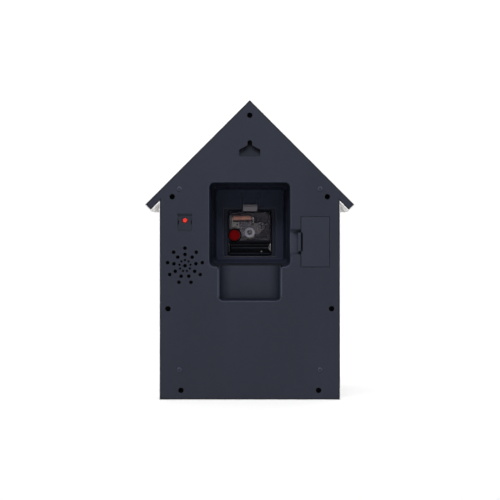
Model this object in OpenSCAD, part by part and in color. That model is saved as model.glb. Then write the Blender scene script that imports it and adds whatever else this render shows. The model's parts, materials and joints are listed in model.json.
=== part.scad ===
// House-shaped battery cuckoo clock.
// +Z is up, the dial faces -Y, and the origin is under the middle of the base.
// Lengths are millimetres. Flat outlines are drawn as (x, z) and given a depth along Y.

/* [Case] */
// Width over the side walls
body_w = 226.4; // [225:0.1:228]
// Width over the tips of the eaves
eave_w = 264; // [262:0.5:268]
// Height of the ridge above the base
ridge_z = 376; // [374:0.5:380]
// Thickness of the eaves, square to the slope
eave_t = 11.5; // [11:0.1:12]
// Depth from the front of the roof trim to the back domes
case_d = 76; // [76:1:84]
// How far the roof trim stands in front of the front wall
roof_reach = 10; // [9.8:0.1:10.4]
// Thickness of the front wall
front_t = 2.5; // [2:0.1:2.6]
// Thickness of the side, roof and base walls
wall_t = 3; // [2.8:0.1:3.2]
// Width of the roof trim, square to the slope
trim_band = 19.2; // [18.6:0.1:19.3]

/* [Back cover] */
// Thickness of the cover
cover_t = 3; // [2.8:0.1:3.2]
// Gap between the cover and the rim of the housing
cover_gap = 0.15; // [0.1:0.05:0.2]
// Height of the four domes that keep the cover off a wall
dome_h = 1.2; // [0.8:0.1:1.6]
// Wall thickness of the moulded wells
skin = 2; // [1.6:0.1:2]
// Depth of the movement recess
recess_d = 40.8; // [40:0.1:41]
// Depth of the finger pocket at its middle
finger_d = 14; // [10:0.5:16]
// Radius of the screws' counterbores
counterbore_r = 3.5; // [3.2:0.1:3.6]

/* [Battery door] */
// Width of the door
door_w = 36.2; // [36:0.1:36.4]
// Height of the door
door_h = 63.5; // [62:0.5:64]
// Thickness of the door
door_t = 2; // [1.8:0.1:2.1]
// Depth of the battery well behind the door
well_d = 17; // [16:0.5:18]

/* [Button and speaker] */
// Radius of the push button
button_r = 3.25; // [3:0.05:3.3]
// Travel of the push button
button_travel = 1.2; // [0.8:0.1:1.2]
// Radii of the three rings of sound holes
sound_rings = [7, 14, 22]; // [5:1:23]
// Radius of the holes on each ring
sound_holes = [1.15, 2, 2]; // [1:0.05:2]
// Holes on each ring
holes_per_ring = 9; // [7:1:9]
// Outer radius of the speaker
speaker_r = 25; // [24.5:0.1:26]

/* [Movement and dial] */
// Side of the square quartz movement
movement_side = 56; // [55.5:0.1:56]
// Height of the dial's centre above the base
dial_z = 210; // [209.5:0.5:210.5]
// Radius of the dial plate
dial_r = 57; // [54:0.5:57]
// Length of the minute hand
minute_len = 47; // [40:1:50]
// Length of the hour hand
hour_len = 31; // [26:1:36]
// Length of the second hand
second_len = 50; // [42:1:51]

/* [Bird and pendulum] */
// Travel of the bird out of its window
bird_travel = 30; // [24:1:30]
// Half the width of the bird window
window_half = 22; // [21.8:0.1:22.2]
// Height of the bird window
window_h = 41; // [40:0.5:41]
// Radius of the pendulum bob
bob_r = 20; // [16:1:20]
// Distance from the pendulum's pivot to its bob
pendulum_len = 78; // [74:1:80]

/* [Hidden] */
$fn = 48;
eps = 0.01;
far = 400;

// Planes along Y, front to back
y_trim = -case_d / 2;
y_front = y_trim + roof_reach;
y_inner = y_front + front_t;
y_back = case_d / 2 - dome_h;
y_plate = y_back - cover_t;
y_rim = y_back - 0.2;

// Width of the housing's rim that shows round the cover: roof, eave end, soffit, wall, base
rim = [0.9, 1.5, 1.4, 0.8, 0.6];

// Screw posts and domes, as (x, z)
post_r = 4.2;
posts = [[0, 356], [97, 254], [-97, 254], [102.3, 114], [-102.3, 114], [86, 12], [-86, 12]];
domes = [[88, 264], [-88, 264], [88, 37.8], [-88, 37.8]];
seat_y = y_back - 4.6;
seat_t = 2;

// Movement recess: half width, lowest and highest z at the cover's face and at the floor
recess_top = [50.7, 166.6, 272];
recess_floor = [43.6, 175, 265];
recess_y = y_back - recess_d;
step_half = [32.9, 30.6];
step_z = dial_z;
step_d = 7;

// Finger pocket below the recess
finger_top = [39.6, 124];
finger_floor = [37.2, 127];
finger_fillet = 16;
finger_lip = [37.6, y_back - 2];
finger_flare_r = 3.5;

// Battery door and well
door_x = -81.9;
door_z = 197.75;
door_gap = 0.25;
well_half = [15.4, 29.4];
well_floor = y_back - door_t - 0.2 - well_d;
latch_well_x = [-49.2, -63.9];
latch_well_z = [181.8, 213.4];
latch_well_d = [2.5, 6.5];
hinge_at = [door_x - door_w / 2 + door_t / 2, y_back - door_t / 2];
hinge_pin_r = 0.6;
hinge_pin_len = 1.3;

// Button, board and speaker
button_at = [81, 224.4];
switch_h = 3.4;
bezel_low = [72.2, 211.2];
bezel_high = [90.2, 233.2];
board_y = [y_back - 12.8, y_back - 11.2];
board_low = [62, 204];
board_high = [104, 242];
board_holes = [[66, 208], [100, 208], [66, 238], [100, 238]];
speaker_at = [81, 167.9];
ring_holes = [for (a = [45:90:315]) speaker_at + polar(speaker_r + 3.5, a)];
ring_y = y_plate - 2.5;

// Hanger
hang_z = 304;
hang_half = 13.3;
slot_half = 2.95;
hang_d = 10;

// Movement planes
m_front = y_inner + 0.2;
m_rear = m_front + 15.8;
m_half = movement_side / 2;
m_wall = 1.2;
bush_r = 3.9;
bay_z = [dial_z - 26.4, dial_z - 11.6];
coil_yz = [m_front + 9.6, dial_z + 18.2];

// Going train: teeth, module and centres as (x, z)
small_m = 0.25;
second_teeth = [60, 8];
inter_teeth = [50, 10];
rotor_teeth = 10;
third_teeth = [60, 8];
centre_teeth = 64;
inter_r = small_m * (second_teeth[0] + inter_teeth[1]) / 2;
rotor_step = small_m * (inter_teeth[0] + rotor_teeth) / 2;
third_r = small_m * (second_teeth[1] + third_teeth[0]) / 2;
centre_m = 2 * third_r / (third_teeth[1] + centre_teeth);
inter_dir = 70;
rotor_dir = 15;
third_dir = 150;
hub = [0, dial_z];
inter_at = hub + polar(inter_r, inter_dir);
rotor_at = inter_at + polar(rotor_step, rotor_dir);
third_at = hub + polar(third_r, third_dir);

// Motion work and setting: teeth, module and centres
work_m = 0.42;
cannon_teeth = 12;
minute_teeth = [36, 10];
hour_teeth = 40;
knob_teeth = 12;
knob_at = [19.4, dial_z - 3.7];
work_r = work_m * (cannon_teeth + minute_teeth[0]) / 2;
hour_m = 2 * work_r / (minute_teeth[1] + hour_teeth);
knob_reach = norm(knob_at - hub);
knob_dir = atan2(knob_at[1] - hub[1], knob_at[0] - hub[0]);
work_dir = knob_dir - acos(knob_reach / 2 / work_r);
work_at = hub + polar(work_r, work_dir);
work_to_knob = atan2(knob_at[1] - work_at[1], knob_at[0] - work_at[0]);

// Dial and hands
dial_t = 1.5;
y_dial = y_front - dial_t;
hour_y = y_front - 6.6;
minute_y = y_front - 7.8;
second_y = y_front - 9;
hand_t = 0.7;
hour_angle = 305;
minute_angle = 60;
second_angle = 210;

// Bird window, shutters and drive
window_z = 276;
frame_band = 3.5;
frame_y = y_front - 3.2;
leaf_y = y_front - 1.6;
leaf_x = window_half - 1.4;
leaf_pin_r = 0.8;
rail_x = [8, 10.5];
rail_z = [278, 284];
rack_z = 278;
rack_m = 0.5;
drive_teeth = [30, 12];
pinion_teeth = 10;
drive_yz = [y_inner + 13.5, rack_z - rack_m * drive_teeth[1] / 2];
motor_dir = 30;
motor_step = rack_m * (drive_teeth[0] + pinion_teeth) / 2;
motor_yz = drive_yz + polar(motor_step, motor_dir);
carriage_y = [y_inner + 3.5, drive_yz[0] + bird_travel + 4];
rail_end = carriage_y[1] + 1.8;
bird_y = y_inner + 23;
bird_z = 299;

// Pendulum
niche_half = 40;
niche_z = [26, 84];
niche_y = [y_inner + 0.1, y_inner + 19];
pivot_z = 140;
pivot_y = y_inner + 8.5;
bob_z = pivot_z - pendulum_len;

// Hand-laid wire routes, each with a direction that it never runs along
speaker_route = [[83, 26, 187], [83, 22, 191], [84, 20, 196], [86, 20, 201], [88, 22.6, 206]];
battery_route = [[-76, 14, 165.2], [-70, 6, 159], [-50, 2, 153], [-20, 2, 152], [20, 3, 152],
    [45, 6, 156], [52, 12, 174], [56, 18, 198], [63, 23, 212]];
motor_route = [[34.6, 1.5, 282], [42, 3, 282], [52, 8, 278], [64, 15, 266], [71, 20.6, 252],
    [74, 22.9, 240]];

function polar(r, a) = [r * cos(a), r * sin(a)];
function mirrored(pts) = [for (i = [len(pts) - 1:-1:0]) if (pts[i][0] > 0) [-pts[i][0], pts[i][1]]];

// The house outline, drawn in by a distance for each kind of edge
function house_half(e) =
    let (root = sqrt(2),
         roof = ridge_z - e[0] * root,
         end = eave_w - ridge_z - e[1] * root,
         soffit = ridge_z - (eave_t - e[2]) * root,
         side = body_w / 2 - e[3])
    [[0, roof], [(roof + end) / 2, (roof - end) / 2], [(soffit + end) / 2, (soffit - end) / 2],
        [side, soffit - side], [side, e[4]]];
function house(e) = concat(house_half(e), mirrored(house_half(e)));

// A gear's outline with a tooth centred on the angle phase
function gear(n, m, phase) =
    [for (i = [0:n - 1], s = [[-1, -1.2], [-1, 0.85], [1, 0.85], [1, -1.2]])
        let (r = m * (n / 2 + s[1]),
             half_tooth = m * (0.62 - 0.4 * s[1]))
        polar(r, phase + i * 360 / n + s[0] * min(asin(half_tooth / r), 165 / n))];

// The phase of a gear of nb teeth that meshes in direction dir with one of na teeth at phase pa
function mate(pa, na, nb, dir) = dir + 180 - (pa - dir) * na / nb + 180 / nb;

// Gives a flat (x, z) outline a depth from y0 to y1
module slab(y0, y1) {
    translate([0, y1, 0]) rotate([90, 0, 0]) linear_extrude(y1 - y0) children();
}

// A round bar along Y at (x, z)
module bar(at, y0, y1, r, r_front = 0) {
    translate([at[0], y1, at[1]]) rotate([90, 0, 0])
        cylinder(h = y1 - y0, r1 = r, r2 = r_front ? r_front : r);
}

// A round bar along X at (y, z)
module cross_bar(at, x0, x1, r) {
    translate([x0, at[0], at[1]]) rotate([0, 90, 0]) cylinder(h = x1 - x0, r = r);
}

// A box between two corners
module box(a, b) {
    translate(a) cube(b - a);
}

// A rectangle between two corners, with round corners
module round_rect(a, b, r) {
    for (x = [a[0] + r, b[0] - r], z = [a[1] + r, b[1] - r]) translate([x, z]) circle(r);
    translate([a[0], a[1] + r]) square([b[0] - a[0], b[1] - a[1] - 2 * r]);
    translate([a[0] + r, a[1]]) square([b[0] - a[0] - 2 * r, b[1] - a[1]]);
}

// A well with drafted walls, from a mouth at y_back to a floor at y_floor, each grown by grow
module drafted(mouth, floor, y_floor, grow, r = 6.5) {
    hull() {
        slab(y_back - eps, y_back + (grow ? 0 : eps)) well_outline(mouth, grow, r);
        slab(y_floor - grow, y_floor - grow + eps) well_outline(floor, grow, r - 1.5);
    }
}

// A rounded outline from [half width, lowest z, highest z], grown by grow
module well_outline(size, grow, r) {
    half = size[0] + grow;
    round_rect([-half, size[1] - grow], [half, size[2] + grow], r + grow, $fn = 32);
}

// ---- Case ----

module front_housing() {
    color("whitesmoke") {
        difference() {
            slab(y_front, y_rim) polygon(house([0, 0, 0, 0, 0]));
            slab(y_inner, far) polygon(house([wall_t, wall_t, wall_t, wall_t, wall_t]));
            slab(y_plate - 0.1, far) polygon(house(rim));
            bar(hub, -far, 0, bush_r + 0.3);
            box([-window_half, -far, window_z], [window_half, 0, window_z + window_h]);
            slab(-far, 0) niche_outline(0);
        }
        for (p = posts) difference() {
            bar(p, y_inner - eps, seat_y - seat_t - 0.1, post_r);
            bar(p, seat_y - 14, far, 1.3);
        }
    }
}

module roof_trim() {
    outer = house_half([0, 0, 0, 0, 0]);
    low = outer[2][1];
    inner = ridge_z - trim_band * sqrt(2);
    right = [outer[0], outer[1], outer[2], [inner - low, low], [0, inner]];
    left = [for (i = [3:-1:1]) [-right[i][0], right[i][1]]];
    color("whitesmoke") slab(y_trim, y_front) polygon(concat(right, left));
}

module back_cover() {
    finger_y = y_back - finger_d;
    mouth = [finger_top[0], finger_top[1], 184];
    floor = [finger_floor[0], finger_floor[1], 182];
    door_low = [door_x - door_w / 2 - door_gap, door_z - door_h / 2 - door_gap];
    door_high = [door_x + door_w / 2 + door_gap, door_z + door_h / 2 + door_gap];
    color("darkslategray") difference() {
        union() {
            slab(y_plate, y_back) polygon(house([for (r = rim) r + cover_gap]));
            drafted(recess_top, recess_floor, recess_y, skin);
            drafted(mouth, floor, finger_y, skin);
            box([-step_half[0] - skin, recess_y - step_d - skin, step_z - step_half[1] - skin],
                [step_half[0] + skin, recess_y, step_z + step_half[1] + skin]);
            box([door_x - well_half[0] - skin, well_floor - skin, door_z - well_half[1] - skin],
                [door_x + well_half[0] + skin, y_plate, door_z + well_half[1] + skin]);
            box([-hang_half - skin, y_back - hang_d - skin, hang_z - skin],
                [hang_half + skin, y_plate, 328]);
            latch_well(skin);
            for (p = posts) bar(p, seat_y - seat_t, y_plate, counterbore_r + 1.8);
            for (p = board_holes) bar(p, board_y[1], y_plate + eps, 2.6);
            for (p = ring_holes) bar(p, ring_y, y_plate + eps, 2.4);
            for (p = domes) dome(p);
        }
        drafted(recess_top, recess_floor, recess_y, 0);
        for (s = [-1, 1]) slab(finger_y + 7, far) finger_flare(s);
        intersection() {
            drafted(mouth, floor, finger_y, 0);
            finger_trough(finger_y);
        }
        box([-step_half[0], recess_y - step_d, step_z - step_half[1]],
            [step_half[0], recess_y + eps, step_z + step_half[1]]);
        box([-m_half - 0.4, -far, dial_z - m_half - 0.9], [m_half + 0.4, 0, dial_z + m_half - 0.1]);
        for (x = [-11.4, 9.4])
            box([x, recess_y - skin - eps, step_z + step_half[1] + skin], [x + 1, recess_y + eps, 258]);
        // Door rebate and battery well
        slab(y_back - door_t - 0.2, far) square_between(door_low, door_high);
        box([door_x - well_half[0], well_floor, door_z - well_half[1]],
            [door_x + well_half[0], far, door_z + well_half[1]]);
        latch_well(0);
        translate([hinge_at[0], hinge_at[1], door_z - door_h / 2 - hinge_pin_len - 0.2])
            cylinder(h = door_h + 2 * hinge_pin_len + 0.4, r = hinge_pin_r + 0.1, $fn = 24);
        // Hanger: a wide pocket behind a keyhole in the plate
        slab(y_plate - eps, far) keyhole();
        box([-hang_half, y_back - hang_d, hang_z], [hang_half, y_plate, 326.4]);
        slab(y_plate - eps, far) square_between(bezel_low - [0.15, 0.15], bezel_high + [0.15, 0.15]);
        for (p = posts) {
            bar(p, seat_y, far, counterbore_r);
            bar(p, 0, far, 1.7);
        }
        for (p = concat(board_holes, ring_holes)) bar(p, 0, y_plate + 0.8, 1.1);
        bar(speaker_at, y_plate - eps, far, 2);
        for (i = [0:2], k = [0:holes_per_ring - 1])
            bar(speaker_at + polar(sound_rings[i], 90 + k * 360 / holes_per_ring), y_plate - eps, far,
                sound_holes[i]);
    }
}

// A trough along Z with a flat floor at y_floor, rounded sides and a sloped lip
module finger_trough(y_floor) {
    half = finger_lip[0];
    y_lip = finger_lip[1];
    y_centre = y_floor + finger_fillet;
    middle = half - sqrt(pow(finger_fillet, 2) - pow(y_centre - y_lip, 2));
    translate([0, 0, 100]) linear_extrude(100) {
        intersection() {
            union() {
                square_between([-middle, y_floor], [middle, y_lip]);
                for (side = [-1, 1]) translate([side * middle, y_centre]) circle(finger_fillet);
            }
            square_between([-half - 1, y_floor - 1], [half + 1, y_lip]);
        }
        polygon([[-half, y_lip - eps], [half, y_lip - eps], [finger_top[0], y_back], [finger_top[0], y_back + 1],
            [-finger_top[0], y_back + 1], [-finger_top[0], y_back]]);
    }
}

// The flared corner between the movement recess and the finger pocket
module finger_flare(side) {
    r = finger_flare_r;
    x = finger_top[0] - 0.6;
    z = recess_top[1];
    difference() {
        square_between([min(side * x, side * (x + r)), z - r], [max(side * x, side * (x + r)), z + 2]);
        translate([side * (x + r + eps), z - r - eps]) circle(r);
    }
}

// The finger recess beside the battery door, with a floor that slopes down to the door's latch
module latch_well(grow) {
    x = [latch_well_x[0], latch_well_x[1] - grow];
    z = [latch_well_z[0] - grow, latch_well_z[1] + grow];
    y_mouth = grow ? y_back : y_back + eps;
    translate([0, 0, z[0]]) linear_extrude(z[1] - z[0])
        polygon([[x[0], y_mouth], [x[0], y_back - latch_well_d[0] - grow],
            [x[1], y_back - latch_well_d[1] - grow], [x[1], y_mouth]]);
}

// The snap finger that holds the movement's upper edge
module movement_latch() {
    tab_z = dial_z + m_half - 1;
    color("gray") translate([-9.6, 0, 0]) rotate([90, 0, 90]) linear_extrude(18.2)
        polygon([[m_rear + 0.3, tab_z], [m_rear + 4.5, tab_z], [recess_y + 2, tab_z + 5],
            [recess_y + 1.6, tab_z + 8.4], [recess_y, tab_z + 8.4], [recess_y, tab_z + 3.5],
            [m_rear + 0.3, tab_z + 3.5]]);
}

module dome(at) {
    r = 2.8;
    translate([at[0], y_back - eps, at[1]]) rotate([-90, 0, 0]) rotate_extrude()
        polygon([[0, 0], [r, 0], [r, dome_h * 0.3], [r * 0.86, dome_h * 0.72], [r * 0.5, dome_h],
            [0, dome_h]]);
}

module keyhole() {
    shoulder = hang_z + 8.9;
    top = 325 - slot_half;
    round_rect([-hang_half, hang_z], [hang_half, shoulder], 2.4);
    translate([0, top]) circle(slot_half);
    neck = shoulder + 5.8;
    polygon([[-hang_half, hang_z + 4], [hang_half, hang_z + 4], [hang_half, shoulder], [slot_half, neck],
        [slot_half, top], [-slot_half, top], [-slot_half, neck], [-hang_half, shoulder]]);
}

module square_between(a, b) {
    translate(a) square(b - a);
}

module case_screws() {
    color("dimgray") for (p = posts) difference() {
        union() {
            bar(p, seat_y, seat_y + 1.9, 2.9);
            bar(p, seat_y - 12, seat_y, 1.25);
        }
        for (a = [0, 90]) translate([p[0], seat_y + 1.9, p[1]]) rotate([0, a, 0])
            cube([3.2, 1.8, 0.7], center = true);
    }
}

module battery_door() {
    x = [door_x - door_w / 2, door_x + door_w / 2];
    z = [door_z - door_h / 2, door_z + door_h / 2];
    latch_z = [186, 209.2];
    color("darkslategray") difference() {
        union() {
            translate([0, 0, z[0]]) linear_extrude(door_h) {
                square_between([hinge_at[0], y_back - door_t], [x[1], y_back]);
                translate(hinge_at) circle(door_t / 2);
            }
            translate([hinge_at[0], hinge_at[1], z[0] - hinge_pin_len])
                cylinder(h = door_h + 2 * hinge_pin_len, r = hinge_pin_r, $fn = 24);
            // Spring latch folded along the free edge
            translate([0, 0, latch_z[0]]) linear_extrude(latch_z[1] - latch_z[0])
                polygon([[x[1] - eps, y_back - 0.2], [x[1] + 3.2, y_back - 0.4], [x[1] + 3.2, y_back - 5.2],
                    [x[1] + 2, y_back - 5.2], [x[1] + 2, y_back - 1.6], [x[1] - eps, y_back - 1.6]]);
        }
        box([x[1] - 2.5, y_back - 0.9, latch_z[0]], [x[1] - 0.6, far, latch_z[1]]);
    }
}

module battery_contacts() {
    z = [door_z - well_half[1], door_z + well_half[1]];
    y = well_floor + 8.6;
    pad = 6;
    t = 0.5;
    color("silver") {
        for (s = [-1, 1]) {
            x = door_x + s * 7.6;
            box([x - pad, y - pad, z[0] + 0.1], [x + pad, y + pad, z[0] + 0.1 + t]);
            box([x - pad, y - pad, z[1] - 0.1 - t], [x + pad, y + pad, z[1] - 0.1]);
            // One cell's spring stands on the lower plate and the other's hangs from the upper
            translate([x, y, s > 0 ? z[0] + 0.59 : z[1] - 0.59]) rotate([s > 0 ? 0 : 180, 0, 0])
                cylinder(h = 4, r1 = 4.6, r2 = 2.6);
        }
        box([door_x - 2, y - pad / 2, z[1] - 0.1 - t], [door_x + 2, y + pad / 2, z[1] - 0.1]);
    }
}

// ---- Button, board and speaker ----

module button_bezel() {
    face = y_back - 0.1;
    under = y_back - 4.6;
    z = [bezel_low[1], bezel_high[1]];
    lip = 1.6;
    color("darkslategray") difference() {
        union() {
            translate([bezel_low[0], 0, 0]) rotate([90, 0, 90]) linear_extrude(bezel_high[0] - bezel_low[0])
                polygon([[under, z[0]], [face, z[0]], [face, z[0] + 2.4], [y_back - 3.4, z[1] - 1.2],
                    [face, z[1] - 1.2], [face, z[1]], [under, z[1]]]);
            box([bezel_low[0] - lip, y_plate - lip, z[0] - lip],
                [bezel_high[0] + lip, y_plate - 0.05, z[1] + lip]);
        }
        bar(button_at, 0, far, button_r + 0.15);
        for (x = [bezel_low[0] + 0.5, bezel_high[0] - 1.4])
            box([x, 0, 219.5], [x + 0.9, far, 225]);
    }
}

module push_button() {
    color("tomato") difference() {
        union() {
            bar(button_at, y_back - 4.8, y_back - 1.2, button_r);
            bar(button_at, board_y[1] + switch_h + button_travel + 0.2, y_back - 4.7, button_r + 0.9);
        }
        translate([button_at[0], y_back - 0.6, button_at[1]]) sphere(r = 1.1);
    }
}

module main_board() {
    color("seagreen") {
        difference() {
            slab(board_y[0], board_y[1]) square_between(board_low, board_high);
            for (p = board_holes) bar(p, 0, far, 1.3);
        }
        box([70, board_y[0] - 1.7, 226], [80, board_y[0], 233]);
        box([86, board_y[0] - 1.5, 212], [92, board_y[0], 222]);
        for (x = [72, 78]) bar([x, 214], board_y[0] - 7, board_y[0], 2.4);
    }
}

module tact_switch() {
    color("gray") {
        box([button_at[0] - 3, board_y[1], button_at[1] - 3],
            [button_at[0] + 3, board_y[1] + switch_h - 0.2, button_at[1] + 3]);
        bar(button_at, board_y[1] + switch_h - 0.21, board_y[1] + switch_h, 1.7);
    }
}

module board_screws() {
    small_screw = [[board_holes, board_y[0], 7], [ring_holes, ring_y - 1.2, 4]];
    color("silver") for (g = small_screw, p = g[0]) {
        bar(p, g[1] - 1.6, g[1], 2.2);
        bar(p, g[1] - eps, g[1] + g[2], 1.05);
    }
}

module speaker_basket() {
    y = y_plate - 0.4;
    color("dimgray") difference() {
        union() {
            bar(speaker_at, y - 2, y, speaker_r);
            bar(speaker_at, y - 13, y - 1.9, speaker_r - 3, 13);
        }
        bar(speaker_at, y - 11.5, y - 1.9, speaker_r - 5, 11);
        bar(speaker_at, y - 2, far, speaker_r - 3.2);
        bar(speaker_at, -far, far, 8);
        for (a = [45:90:315]) translate([speaker_at[0], y - 7, speaker_at[1]]) rotate([0, a, 0])
            translate([speaker_r - 8, 0, 0]) cube([10, 4.5, 12], center = true);
    }
}

module speaker_cone() {
    y = y_plate - 0.5;
    color("black") translate([speaker_at[0], y, speaker_at[1]]) rotate([90, 0, 0]) rotate_extrude()
        polygon([[0, 3.4], [4, 3.9], [7.5, 6.4], [18.6, 1.2], [20, 0.2], [21.4, 1.2], [21.4, 1.8], [20, 0.9],
            [18.8, 1.9], [7.4, 7.3], [3.8, 4.6], [0, 4.1]]);
}

module speaker_magnet() {
    y = y_plate - 13.4;
    color("darkgray") {
        bar(speaker_at, y - 1.6, y, 12);
        bar(speaker_at, y - 7, y - 1.6, 14.5);
        bar(speaker_at, y - 8.6, y - 7, 11);
    }
}

module speaker_ring() {
    y = ring_y;
    color("dimgray") difference() {
        union() {
            bar(speaker_at, y - 1.2, y, speaker_r + 1.8);
            for (p = ring_holes) bar(p, y - 1.2, y, 3.2);
        }
        bar(speaker_at, -far, far, speaker_r - 2.6);
        for (p = ring_holes) bar(p, -far, far, 1.3);
    }
}

// ---- Movement ----

module movement_outline(inset) {
    half = m_half - inset;
    round_rect([-half, dial_z - 0.5 - half], [half, dial_z - 0.5 + half], 4 - inset);
}

module movement_front_case() {
    split = m_front + 6.4;
    color("dimgray") difference() {
        union() {
            slab(m_front, split) movement_outline(0);
            bar(hub, y_front - 5, m_front + eps, bush_r);
        }
        slab(m_front + m_wall, split + eps) movement_outline(m_wall);
        bar(hub, -far, 0, 3.3);
    }
}

module movement_rear_case() {
    split = m_front + 6.4;
    color("slategray", 0.6) difference() {
        union() {
            slab(split, m_rear) movement_outline(0);
            bar(hub, m_rear - eps, m_rear + 1.2, 6.3);
        }
        slab(split - eps, m_rear - m_wall) intersection() {
            movement_outline(m_wall);
            square_between([-m_half, bay_z[1] + m_wall], [m_half, dial_z + m_half]);
        }
        // Bay for one battery cell, the second wheel's bearing and the opening for the set knob
        box([-m_half + m_wall, split + 0.6, bay_z[0]], [m_half - m_wall, far, bay_z[1]]);
        bar(hub, m_rear + 0.4, far, 3.4);
        bar(hub, -far, far, 0.86);
        bar(knob_at, -far, far, 7.3);
    }
}

module drive_coil() {
    color("peru") difference() {
        union() {
            cross_bar(coil_yz, -0.5, 19.7, 2.8);
            for (x = [-1.8, 19.6])
                box([x, coil_yz[0] - 3, coil_yz[1] - 3], [x + 1.4, coil_yz[0] + 3, coil_yz[1] + 3]);
        }
        cross_bar(coil_yz, -far, far, 0.95);
    }
}

module stator() {
    y = m_front + 7.8;
    x = [-5.2, 22.8];
    foot_z = rotor_at[1] - 5;
    color("silver") {
        difference() {
            slab(y, y + 0.8) square_between([x[0], foot_z], [x[1], coil_yz[1] - 3.6]);
            bar(rotor_at, -far, far, 2.9);
            bar(inter_at, -far, far, 1.8);
        }
        for (e = [[x[0], x[0] + 1.7], [x[1] - 1.6, x[1]]])
            box([e[0], y, coil_yz[1] - 3.7], [e[1], coil_yz[0] + 1.2, coil_yz[1] + 1.2]);
        cross_bar(coil_yz, x[0] + 1, x[1] - 1, 0.9);
    }
}

module movement_board() {
    y = m_front + 1.4;
    color("darkgreen") {
        slab(y, y + 0.8) square_between([-24, dial_z - 25], [10, dial_z - 14]);
        cross_bar([y + 2.4, dial_z - 22], -20, -13, 1.5);
        bar([-4, dial_z - 19.5], y + 0.7, y + 1.8, 2.4);
    }
}

module movement_contacts() {
    color("silver") for (x = [-m_half + m_wall + 0.05, m_half - m_wall - 0.55])
        box([x, m_front + 7.1, bay_z[0] + 2.6], [x + 0.5, m_rear - 1.6, bay_z[1] - 2.6]);
}

module centre_nut() {
    color("goldenrod") {
        difference() {
            bar(hub, y_dial - 0.4, y_dial, 6.2);
            bar(hub, -far, 0, bush_r + 0.02);
        }
        difference() {
            bar(hub, y_dial - 2.4, y_dial - 0.4, 5.4, $fn = 6);
            bar(hub, -far, 0, bush_r + 0.02, $fn = 48);
        }
    }
}

// A toothed wheel on (x, z) from y0 to y1
module wheel(at, n, m, phase, y0, y1) {
    slab(y0, y1) translate(at) polygon(gear(n, m, phase));
}

inter_phase = mate(0, second_teeth[0], inter_teeth[1], inter_dir);
third_phase = mate(0, second_teeth[1], third_teeth[0], third_dir);

module rotor() {
    phase = mate(inter_phase, inter_teeth[0], rotor_teeth, rotor_dir);
    color("dimgray") {
        wheel(rotor_at, rotor_teeth, small_m, phase, m_front + 8.6, m_front + 10.2);
        bar(rotor_at, m_front + 6.6, m_front + 8.6 + eps, 2.4);
        bar(rotor_at, m_front + 4.6, m_front + 13.6, 0.4);
    }
}

module intermediate_wheel() {
    color("ivory") {
        wheel(inter_at, inter_teeth[0], small_m, inter_phase, m_front + 8.9, m_front + 9.6);
        wheel(inter_at, inter_teeth[1], small_m, inter_phase, m_front + 9.6 - eps, m_front + 12.4);
        bar(inter_at, m_front + 7.9, m_front + 13.6, 0.4);
    }
}

module second_wheel() {
    color("ivory") {
        wheel(hub, second_teeth[0], small_m, 0, m_front + 11, m_front + 11.8);
        wheel(hub, second_teeth[1], small_m, 0, m_front + 9.7, m_front + 11 + eps);
        bar(hub, second_y - hand_t, m_rear + 0.4, 0.8);
    }
}

module third_wheel() {
    color("ivory") {
        wheel(third_at, third_teeth[0], small_m, third_phase, m_front + 10, m_front + 10.7);
        wheel(third_at, third_teeth[1], centre_m, third_phase, m_front + 6.4, m_front + 10 + eps);
        bar(third_at, m_front + 5, m_front + 13.6, 0.4);
    }
}

module centre_wheel() {
    phase = mate(third_phase, third_teeth[1], centre_teeth, third_dir + 180);
    color("gold") difference() {
        wheel(hub, centre_teeth, centre_m, phase, m_front + 6.6, m_front + 7.4);
        bar(hub, -far, far, 0.85);
    }
}

cannon_phase = 0;
work_phase = mate(cannon_phase, cannon_teeth, minute_teeth[0], work_dir);

module cannon_pinion() {
    color("gold") difference() {
        union() {
            wheel(hub, cannon_teeth, work_m, cannon_phase, m_front + 4.9, m_front + 6.4);
            bar(hub, minute_y - hand_t - 0.4, m_front + 4.9 + eps, 1.6);
        }
        bar(hub, -far, far, 0.85);
    }
}

module minute_wheel() {
    color("ivory") {
        wheel(work_at, minute_teeth[0], work_m, work_phase, m_front + 5, m_front + 5.8);
        wheel(work_at, minute_teeth[1], hour_m, work_phase, m_front + 2.6, m_front + 5.1);
        bar(work_at, m_front + 1.4, m_front + 7.6, 0.6);
    }
}

module hour_wheel() {
    phase = mate(work_phase, minute_teeth[1], hour_teeth, work_dir + 180);
    color("ivory") difference() {
        union() {
            wheel(hub, hour_teeth, hour_m, phase, m_front + 2.8, m_front + 3.8);
            bar(hub, hour_y - hand_t - 0.3, m_front + 2.8 + eps, 2.6);
        }
        bar(hub, -far, far, 1.66);
    }
}

module set_knob() {
    phase = mate(work_phase, minute_teeth[0], knob_teeth, work_to_knob);
    grips = 30;
    rise = m_rear + 4.2;
    color("firebrick") {
        wheel(knob_at, knob_teeth, work_m, phase, m_front + 4.8, m_front + 6.2);
        bar(knob_at, m_front + 6, m_rear - 1, 1.6);
        slab(m_rear - 1, rise) translate(knob_at)
            polygon([for (i = [0:2 * grips - 1]) polar(i % 2 ? 6.6 : 7, i * 180 / grips)]);
        bar(knob_at, rise - eps, rise + 0.8, 5.4);
    }
}

// ---- Dial and hands ----

module dial_plate() {
    color("slategray") difference() {
        bar(hub, y_dial, y_front, dial_r);
        bar(hub, -far, 0, bush_r + 0.02);
    }
}

module dial_markers() {
    color("white") for (i = [0:11]) {
        quarter = i % 3 == 0;
        half = quarter ? 1.6 : 1;
        len = quarter ? 9 : 6;
        translate([0, 0, dial_z]) rotate([0, i * 30, 0]) slab(y_dial - 0.8, y_dial)
            square_between([-half, dial_r - 5 - len], [half, dial_r - 5]);
    }
}

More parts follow.
